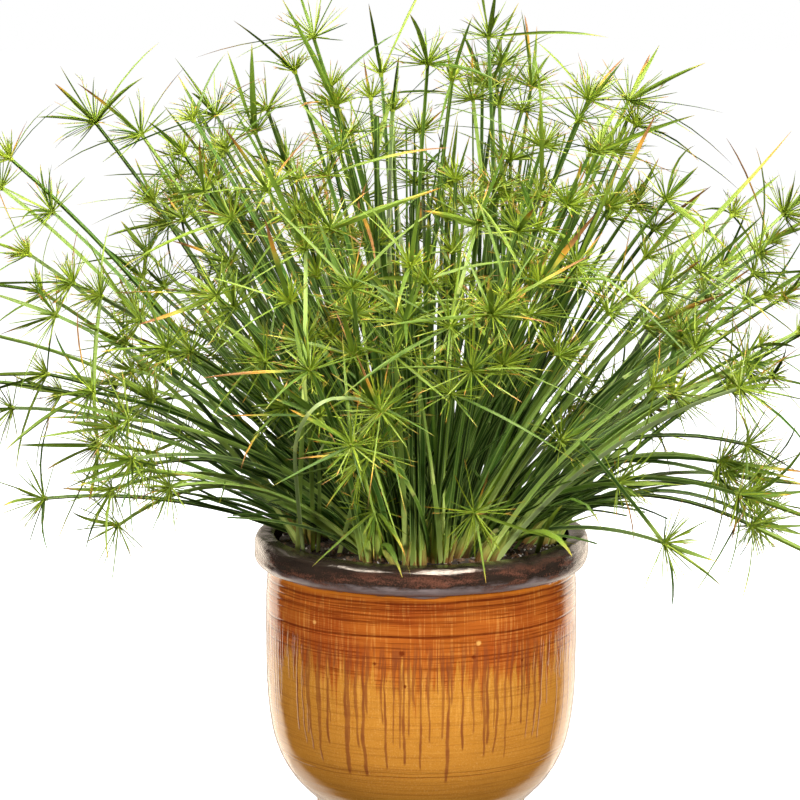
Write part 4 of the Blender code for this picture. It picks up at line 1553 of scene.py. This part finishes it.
# %% The strands that stand out
# For each strand: its pattern, how far behind the pot's axis it is from its start to its end, half
# its width at both ends in millimetres, its tone and its age. Then come its places as they show to
# the eye, in centimetres across and up, like those of the umbels.
STRANDS = (
    (stem_pattern, (-9, -26, -17), (2.3, 1.7), 0.66, 0.55,
     (-9.9, 22.7), (-10.7, 29.3), (-10.5, 32.5), (-8.7, 35.1), (-5.8, 35.5), (-3.5, 34.9)),
    (stem_pattern, (-9, -18), (2.4, 1.9), 0.9, 0.2,
     (-7.1, 22.5), (-5.8, 26.3), (-5.0, 29.3), (-5.0, 31.0), (-5.1, 32.2)),
    (stem_pattern, (-18, -18), (1.6, 0.9), 0.9, 0.3,
     (-5.1, 32.2), (-5.5, 33.1), (-6.0, 33.8)),
    (stem_pattern, (-9, -12), (2.3, 1.8), 0.85, 0.1,
     (-8.8, 22.6), (-8.5, 26.8), (-8.7, 30.5)),
    (stem_pattern, (-12, -14), (1.2, 0.9), 0.9, 0.6,
     (-8.7, 30.5), (-8.1, 31.8), (-7.4, 32.9)),
    (stem_pattern, (-10, -19), (2.6, 1.6), 0.55, 0,
     (0.7, 21.8), (0.6, 24.4), (-1.9, 29.7), (-4.5, 33.7)),
    (stem_pattern, (-11, -20), (2.8, 2), 0.98, 0,
     (1.7, 21.6), (1.4, 25.1), (0.6, 31.0), (-0.1, 35.5)),
    (stem_pattern, (-9, -13), (2.6, 1.9), 0.9, 0,
     (1.6, 21.7), (2.2, 35.2), (2.4, 42.0), (3.7, 46.4), (4.7, 49.7)),
    (stem_pattern, (-3, -5), (3.3, 3), 0.02, 0,
     (-3.0, 22.9), (-3.4, 43.7), (-3.7, 49.1), (-3.7, 58.9)),
    (stem_pattern, (-2, -4), (3.3, 2.6), 0.04, 0,
     (-2.0, 22.9), (-2.4, 42.8), (-2.9, 49.1), (-3.2, 58.9)),
    (stem_pattern, (-9, -19, -12), (2.6, 2), 0.92, 0,
     (-10.5, 22.8), (-10.1, 31.0), (-9.7, 39.4), (-9.5, 47.9)),
    (stem_pattern, (-9, -18, -20), (2.5, 1.9), 0.8, 0,
     (-9.2, 22.7), (-9.2, 31.0), (-10.2, 39.4), (-11.0, 43.5)),
    (stem_pattern, (-14, -16), (2.2, 1.7), 0.3, 0,
     (18.8, 25.4), (15.5, 29.6), (13.4, 31.7)),
    (stem_pattern, (-9, -12), (2.2, 1.6), 0.3, 0,
     (6.4, 22.7), (11.7, 31.8), (15.5, 36.0), (18.4, 38.1), (20.7, 39.8)),
    (bract_pattern, (-12, -13), (2.6, 2.6), 0.1, 0,
     (20.7, 39.8), (21.0, 36.9), (20.7, 33.7)),
    (bract_pattern, (-20, -22), (1.7, 1.7), 0.95, 0.16,
     (-3.2, 34.8), (-1.4, 32.8), (-0.8, 29.4)),
    (bract_pattern, (-20, -20), (1.3, 1.3), 0.75, 0,
     (-2.9, 27.5), (-3.9, 25.7), (-4.9, 23.7)),
    (bract_pattern, (-20, -21), (1.6, 1.6), 0.7, 0.3,
     (-2.8, 27.3), (-2.3, 24.5), (-1.3, 21.7)),
    (bract_pattern, (-13, -17), (3.2, 3.2), 0.35, 0.04,
     (-3.4, 21.9), (-3.5, 25.6), (-1.6, 20.0)),
    (bract_pattern, (-12, -17), (4.6, 4.6), 0.80, 0.03,
     (6.3, 22.8), (10.2, 26.6), (12.8, 21.8)),
    (bract_pattern, (-11, -13), (3, 3), 0.85, 0,
     (9.6, 22.6), (10.2, 24.7), (11.9, 26.2)),
    (bract_pattern, (-14, -18), (2.6, 2.6), 0.2, 0,
     (7.5, 22.9), (12.8, 30.5), (15.2, 24.3)),
    (bract_pattern, (-13, -15), (2.6, 2.6), 0.62, 0.2,
     (-7.6, 49.5), (-4.1, 51.1), (1.6, 53.0)),
    (bract_pattern, (-14, -16), (2.2, 2.2), 0.8, 0.3,
     (4.5, 49.9), (2.4, 50.8), (0.1, 51.1)),
    (bract_pattern, (-13, -14), (1.5, 1.5), 0.9, 0.95,
     (-4.2, 50.9), (-3.9, 48.7), (-3.9, 46.9)),
    (bract_pattern, (-13, -14), (1.4, 1.4), 0.9, 0.95,
     (-5.2, 50.7), (-5.3, 49.1), (-5.0, 48.0)),
    (bract_pattern, (-17, -19), (2.4, 2.4), 0.98, 0.1,
     (-1.7, 41.8), (-3.1, 44.9), (-5.2, 46.9)),
    (bract_pattern, (-17, -18), (2.4, 2.4), 0.9, 0.05,
     (0.4, 45.2), (-1.8, 45.7), (-3.8, 45.4)),
    (bract_pattern, (-13, -14), (1.9, 1.9), 0.95, 0.55,
     (-17.1, 44.0), (-20.2, 42.5), (-24.0, 41.5)),
    (bract_pattern, (-3, -3), (2.6, 2.6), 0.45, 0,
     (-13.8, 57.6), (-14.1, 61.0), (-14.0, 64.9)),
    (bract_pattern, (-1, -3), (1.9, 1.9), 0.6, 0.1,
     (17.1, 60.5), (20.2, 62.1), (23.4, 63.3)),
    (bract_pattern, (-5, -6), (2.2, 2.2), 0.4, 0,
     (-7.1, 59.7), (-8.7, 63.8), (-11.6, 68.7)),
    (bract_pattern, (-5, -6), (2, 2), 0.5, 0,
     (5.6, 65.6), (5.8, 67.3), (6.1, 69.3)),
    (bract_pattern, (-8, -9), (1.9, 1.9), 0.85, 0.35,
     (-27.4, 59.0), (-29.1, 60.6), (-30.3, 61.6)),
    (bract_pattern, (-6, -7), (1.7, 1.7), 0.7, 0,
     (-27.2, 59.2), (-25.5, 60.7), (-23.0, 62.1)),
    (bract_pattern, (-6, -9), (2.6, 2.6), 0.75, 0.22,
     (15.0, 42.1), (23.4, 48.7), (30.6, 57.7)),
    (bract_pattern, (-7, -10), (2.1, 2.1), 0.97, 0.1,
     (20.3, 51.7), (23.4, 50.0), (25.8, 47.6)),
    (bract_pattern, (-2, -4), (2, 2), 0.55, 0.05,
     (15.0, 56.3), (18.9, 58.0), (22.6, 59.0)),
    (bract_pattern, (-2, -4), (2, 2), 0.7, 0.1,
     (19.2, 54.8), (20.7, 55.8), (22.6, 56.5)),
    (bract_pattern, (-10, -12), (2, 2), 0.85, 0.2,
     (-32.6, 27.6), (-34.2, 27.0), (-35.4, 26.1)),
    (bract_pattern, (-10, -11), (1.7, 1.7), 0.7, 0.4,
     (-27.6, 30.6), (-27.6, 28.3), (-28.1, 26.5)),
    (bract_pattern, (-12, -13), (2.2, 2.2), 0.5, 0.1,
     (-26.8, 44.0), (-28.2, 36.2), (-27.0, 29.3)),
    (bract_pattern, (-8, -8), (1.7, 1.7), 0.75, 0.35,
     (-30.3, 42.6), (-32.8, 41.8), (-35.4, 40.7)),
    (bract_pattern, (-13, -14), (1.8, 1.8), 0.4, 0.1,
     (-16.5, 28.4), (-16.6, 27.4), (-17.1, 26.3)),
)


# A strand starts in the soil where its first place shows this low, and otherwise at the hub that
# shows within reach, or where another strand ended.
SEEN_ON_SOIL = 24
HUB_REACH = 0.032
END_REACH = 0.011


def in_axis_plane(place):
    return EYE + (place - EYE) * (-EYE.y / (place.y - EYE.y))


def hub_near(place, reach):
    """The hub that shows nearest to a place, or the place itself where none shows within reach."""
    def apart(hub):
        return (seen_from_eye(*in_axis_plane(hub).xz, place.y) - place).length

    hub = min((stem.hub for stem in stems), key=lambda hub: apart(hub) + abs(hub.y - place.y) * 0.1)
    return hub if apart(hub) < reach else place


def on_soil(place):
    """Where the eye's line to a place meets the soil, and a little below that."""
    down = (EYE.z - soil_height(RIM_INSIDE / 2)) / (EYE.z - place.z)
    return EYE + (place - EYE) * down - Vector((0, 0, STEM_SUNK))


def strand_points(pattern, behind, places, joined):
    """The places of a strand in space."""
    depths = np.interp(np.linspace(0, 1, len(places)), np.linspace(0, 1, len(behind)), behind)
    points = [
        seen_from_eye(across / 100, up / 100, float(depth) / 100)
        for (across, up), depth in zip(places, depths)
    ]
    if places[0] in joined:
        points[0] = joined[places[0]]
    elif places[0][1] < SEEN_ON_SOIL:
        points[0] = on_soil(points[0])
    else:
        points[0] = hub_near(points[0], HUB_REACH)
    if pattern is stem_pattern:
        points[-1] = hub_near(points[-1], END_REACH)
    joined[places[-1]] = points[-1]
    return points


def add_strand(growth, pattern, points, widths, tone, age):
    """A chain of smooth bows from the first point to the last, joined halfway between points."""
    last = len(points) - 1
    wide = np.linspace(*widths, last) / 1000
    for i in range(1, last):
        start = points[0] if i == 1 else points[i - 1].lerp(points[i], 0.5)
        end = points[last] if i == last - 1 else points[i].lerp(points[i + 1], 0.5)
        growth.lay(
            pattern, start, points[i], end, wide[i - 1], wide[i], tone=tone, age=age,
            side=Vector((0, 0, 1)),
        )


def tuft_at(start):
    """The tuft that a strand belongs to: the one with a hub or its crown nearest the start."""
    def apart(tuft):
        hubs = [stem.hub for stem in tuft.stems if stem]
        return min((point - start).length for point in (tuft.crown, *hubs))

    return min(range(len(tufts)), key=lambda i: apart(tufts[i]))


joined = {}
strands_of = {}
for pattern, behind, widths, tone, age, *places in STRANDS:
    points = strand_points(pattern, behind, places, joined)
    strands_of.setdefault(tuft_at(points[0]), []).append((pattern, points, widths, tone, age))
print(len(STRANDS), "strands that stand out, on", len(strands_of), "tufts")


# %% Dress every tuft
def dress_tuft(name, tuft, rng, strands):
    growth = Growth()
    for strand in strands:
        add_strand(growth, *strand)
    for i, stem in enumerate(tuft.stems):
        if stem:
            add_stem(growth, rng, tuft, stem)
            add_umbel(growth, rng, stem, tuft.inward(i))
    if tuft.crown.xy.length < BARREN_WITHIN:
        counts = BARREN_BEHIND if tuft.crown.y > 0 else BARREN_COUNTS
        for _ in range(rng.randint(*counts)):
            add_barren(growth, rng, rng.choice([stem for stem in tuft.stems if stem]))
    add_stubs(growth, rng, tuft.crown)
    piece = growth.mesh("fine_" + name, PLANT_FINISHES)
    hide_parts(name)
    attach(piece, "root")
    return piece


TUFT_SEED = 1000
fine_tufts = []
for number, (name, tuft) in enumerate(zip(TUFT_NODES, tufts)):
    rng = random.Random(TUFT_SEED + number)
    fine_tufts.append(dress_tuft(name, tuft, rng, strands_of.get(number, [])))
counts = [triangles(piece) for piece in fine_tufts]
print("tufts:", sum(counts), "triangles, the largest", max(counts))

# %% [markdown]
# ## The soil
#
# The pot is filled nearly to its rim with dark peat, white perlite and bits of bark. The bed is
# spun like the pot and roughened, and the grains are one shape, copied and bent many times.

# %% The bed of soil
SOIL_SIDES = 160
SOIL_RINGS = 46
GAP = 0.0004
# Each kind of lump: how many to a metre, which noise it takes and how high it is.
LUMPS = ((28, 3.1, 0.0022), (95, 7.7, 0.0016), (260, 1.3, 0.0008))
LUMPS_WITHIN = 0.112
LUMPS_FADE = 0.008
# Only the points above this are on the open surface.
TOP_FROM = BODY_OUTLINE[-1][1] + 0.002


def soil_outline():
    bottom = [(0, FLOOR_TOP + GAP), (FOOT_RADIUS - WALL - GAP, FLOOR_TOP + GAP)]
    wall = [(out - WALL - GAP, up) for out, up in BODY_OUTLINE]
    rings = [wall[-1][0] * (1 - i / SOIL_RINGS) for i in range(SOIL_RINGS + 1)]
    return bottom + wall + [(out, soil_height(out)) for out in rings]


def lumps(x, y):
    """How far the soil stands above or below its smooth height."""
    return sum(noise.noise((x * many, y * many, which)) * high for many, which, high in LUMPS)


soil = spun("soil_bed", soil_outline(), SOIL_SIDES)
places = points_of(soil)
for i, (x, y, z) in enumerate(places):
    inner = 1 - min(max((math.hypot(x, y) - LUMPS_WITHIN) / LUMPS_FADE, 0), 1)
    if z > TOP_FROM:
        places[i, 2] += lumps(x, y) * inner
move_points(soil, places)
bpy.ops.object.shade_smooth()
print("soil bed:", triangles(soil), "triangles")

# %% Grains on the soil
GRAIN_SPREAD = 0.119
GRAIN_RISE = 0.15
GRAIN_SEED = 77
# Each kind of grain: its finish (0 is peat, 1 perlite and 2 bark), how many there are, the least and
# the greatest size, and how high it is for its width.
GRAIN_KINDS = (
    (1, 700, 0.0006, 0.0017, 0.8),
    (2, 520, 0.0014, 0.0042, 0.4),
    (0, 900, 0.0008, 0.0024, 0.8),
)


def grain_shape():
    start_piece()
    bpy.ops.mesh.primitive_ico_sphere_add(subdivisions=1, radius=1, enter_editmode=True)
    bpy.ops.transform.resize(value=(1.0, 0.8, 0.7))
    bpy.ops.mesh.select_all(action="DESELECT")
    return close_piece("grain")


grain = grain_shape()
grain_points = points_of(grain)
grain_faces = [list(face.vertices) for face in grain.data.polygons]
bpy.data.objects.remove(grain)
rng = random.Random(GRAIN_SEED)
points, faces, slots = [], [], []
for slot, count, least, most, flat in GRAIN_KINDS:
    for _ in range(count):
        out = GRAIN_SPREAD * math.sqrt(rng.random())
        turn = rng.uniform(0, math.tau)
        size = rng.uniform(least, most)
        x, y = out * math.cos(turn), out * math.sin(turn)
        place = Vector((x, y, soil_height(out) + lumps(x, y) + size * GRAIN_RISE))
        tilt = Matrix.Rotation(rng.uniform(0, math.tau), 3, any_way(rng))
        shape = grain_points * (size, size * rng.uniform(0.5, 1), size * flat)
        shape = shape * np.array([[1 + rng.uniform(-0.25, 0.25)] for _ in shape])
        faces += [[len(points) * len(grain_points) + v for v in face] for face in grain_faces]
        points.append(shape @ np.array(tilt) + np.array(place))
        slots += [slot] * len(grain_faces)
mesh = bpy.data.meshes.new("grains")
mesh.from_pydata(np.concatenate(points), [], faces)
grains = bpy.data.objects.new("grains", mesh)
bpy.context.scene.collection.objects.link(grains)
print("grains:", len(points), "copies,", triangles(grains), "triangles")


# %% Soil finishes
PEAT_COLOURS = (
    (0.30, (0.006, 0.004, 0.003)), (0.5, (0.022, 0.013, 0.008)), (0.64, (0.055, 0.028, 0.014)),
    (0.78, (0.15, 0.085, 0.04)),
)
PEAT_RED = (0.045, 0.018, 0.010)


def peat():
    finish = Finish("peat", roughness=0.85)
    fibres = finish.place.noise(350, 5, 0.7)
    patches = finish.place.noise(60, 3)
    colour = fibres.ramp(*PEAT_COLOURS)
    colour = (patches.ease(0.5, 0.7) * 0.5).mix(colour, PEAT_RED)
    return finish.wear(colour, 0.65 + fibres * 0.3, fibres, distance=0.002)


PERLITE_COLOURS = ((0.35, (0.30, 0.25, 0.20)), (0.55, (0.80, 0.76, 0.70)))


def perlite():
    finish = Finish("perlite", roughness=0.8)
    pores = finish.place.noise(1500, 2, 0.6)
    colour = pores.ramp(*PERLITE_COLOURS)
    return finish.wear(colour, None, pores, distance=0.0005)


BARK_COLOURS = (
    (0.35, (0.035, 0.014, 0.008)), (0.5, (0.10, 0.045, 0.020)), (0.68, (0.26, 0.14, 0.065)),
)


def bark():
    finish = Finish("bark_chips", roughness=0.8)
    grain = finish.place.stretched(1, 1, 3).noise(500, 3, 0.6)
    colour = grain.ramp(*BARK_COLOURS)
    return finish.wear(colour, None, grain, distance=0.0008)


for material in (peat(), perlite(), bark()):
    soil.data.materials.append(material)
    grains.data.materials.append(material)
grains.data.polygons.foreach_set("material_index", slots)
start_piece()
grains.select_set(True)
soil.select_set(True)
bpy.context.view_layer.objects.active = soil
bpy.ops.object.join()
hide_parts("soil")
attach(soil, "root")
print("soil with its grains:", triangles(soil), "triangles")

# %% [markdown]
# ## Floor and light
#
# The plant stands on a table of lit white glass, as in a catalogue studio, so the ground stays pure
# white and shows no shadow. Two soft lights stand high in front and two low at the sides, the
# right ones stronger than the left, and two weak ones stand behind. Between the stems it stays
# dark, since little light comes from all round.

# %% The floor
start_piece()
bpy.ops.mesh.primitive_plane_add(size=60, location=(0, 20, 0))
floor = close_piece("floor")
floor_finish = Finish("lit_white_floor", roughness=0.9, specular=0.0)
floor_finish.shader.inputs["Base Color"].default_value = (0.9, 0.9, 0.9, 1)
floor_finish.shader.inputs["Emission Color"].default_value = (1, 1, 1, 1)
floor_finish.shader.inputs["Emission Strength"].default_value = 1.0
floor.data.materials.append(floor_finish.material)
floor.visible_glossy = False
floor.visible_diffuse = False

# %% [markdown]
# The camera sees a white world behind the plant, while the plant itself is lit by a much weaker
# one. A glossy pot mirrors its surroundings. Six panels behind it, which only show in its gloss,
# give the two cream bands down its edges, and two in front show on the roll of its rim.

# %% The lights
WORLD_FILL = 0.014
world = bpy.data.worlds.new("studio")
world.use_nodes = True
world_light = world.node_tree.nodes["Background"]
seen = Wire(world.node_tree, None).node("LightPath")
strength = seen + (1 - seen) * WORLD_FILL
world.node_tree.links.new(strength.socket, world_light.inputs["Strength"])
world_light.inputs["Color"].default_value = (1, 1, 1, 1)
bpy.context.scene.world = world
bpy.context.scene.view_settings.view_transform = "Standard"


def softbox(name, place, aim, size, watts, kind, colour=(1, 1, 1)):
    """A rectangle of light. Its kind says whether it lights matt colour or shows in gloss."""
    data = bpy.data.lights.new(name, "AREA")
    data.shape = "RECTANGLE"
    data.size, data.size_y = size
    data.energy = watts
    data.color = colour
    lamp = bpy.data.objects.new(name, data)
    lamp.location = place
    lamp.rotation_euler = (Vector(aim) - Vector(place)).to_track_quat("-Z", "Y").to_euler()
    lamp.visible_camera = False
    lamp.visible_glossy = kind == "gloss"
    lamp.visible_diffuse = kind == "matt"
    bpy.context.scene.collection.objects.link(lamp)
    return lamp


CREAM = (1, 0.86, 0.70)
MIDDLE = (0, 0, 0.3)
HIGH_RIGHT = (0.465, -0.997, 2.255)
HIGH_LEFT = (-0.98, -0.794, 2.152)
softbox("high_right", HIGH_RIGHT, MIDDLE, (0.5, 0.5), 58, "matt")
softbox("high_left", HIGH_LEFT, MIDDLE, (0.5, 0.5), 29, "matt")
softbox("side_right", (2.3, -2.4, 1.3), MIDDLE, (0.6, 0.6), 104, "matt")
softbox("side_left", (-2.6, -1.9, 1.1), MIDDLE, (0.6, 0.6), 70, "matt")
softbox("back_left", (-2.2, 2.6, 1.5), MIDDLE, (0.8, 0.8), 8, "matt")
softbox("back_right", (2.0, 2.8, 1.7), MIDDLE, (0.8, 0.8), 8, "matt")
softbox("rim_right", HIGH_RIGHT, MIDDLE, (1.1, 2.2), 420, "gloss", CREAM)
softbox("rim_left", HIGH_LEFT, MIDDLE, (1.0, 1.7), 170, "gloss", CREAM)

# These light nothing but the pot.
pot_lamps = [softbox("pot_fill", (-0.1, -2.6, 0.5), (0, 0, 0.1), (1.2, 0.8), 21, "matt")]
for name, x, y, wide, high_watts, low_watts in (
    ("left", -1.334, 1.836, 1.3, 38, 18),
    ("middle", 0, 2.6, 2.0, 14, 16),
    ("right", 1.334, 1.836, 1.3, 38, 18),
):
    for tier, z, tall, watts in (("high", 0.7, 3.6, high_watts), ("low", -2.5, 2.8, low_watts)):
        glare = softbox(
            tier + "_glare_" + name, (x, y, z), (0, 0, z), (wide, tall), watts, "gloss", CREAM
        )
        pot_lamps.append(glare)
pot_only = bpy.data.collections.new("the_pot_alone")
pot_only.objects.link(pot)
for lamp in pot_lamps:
    lamp.light_linking.receiver_collection = pot_only
print("lights and floor are in")
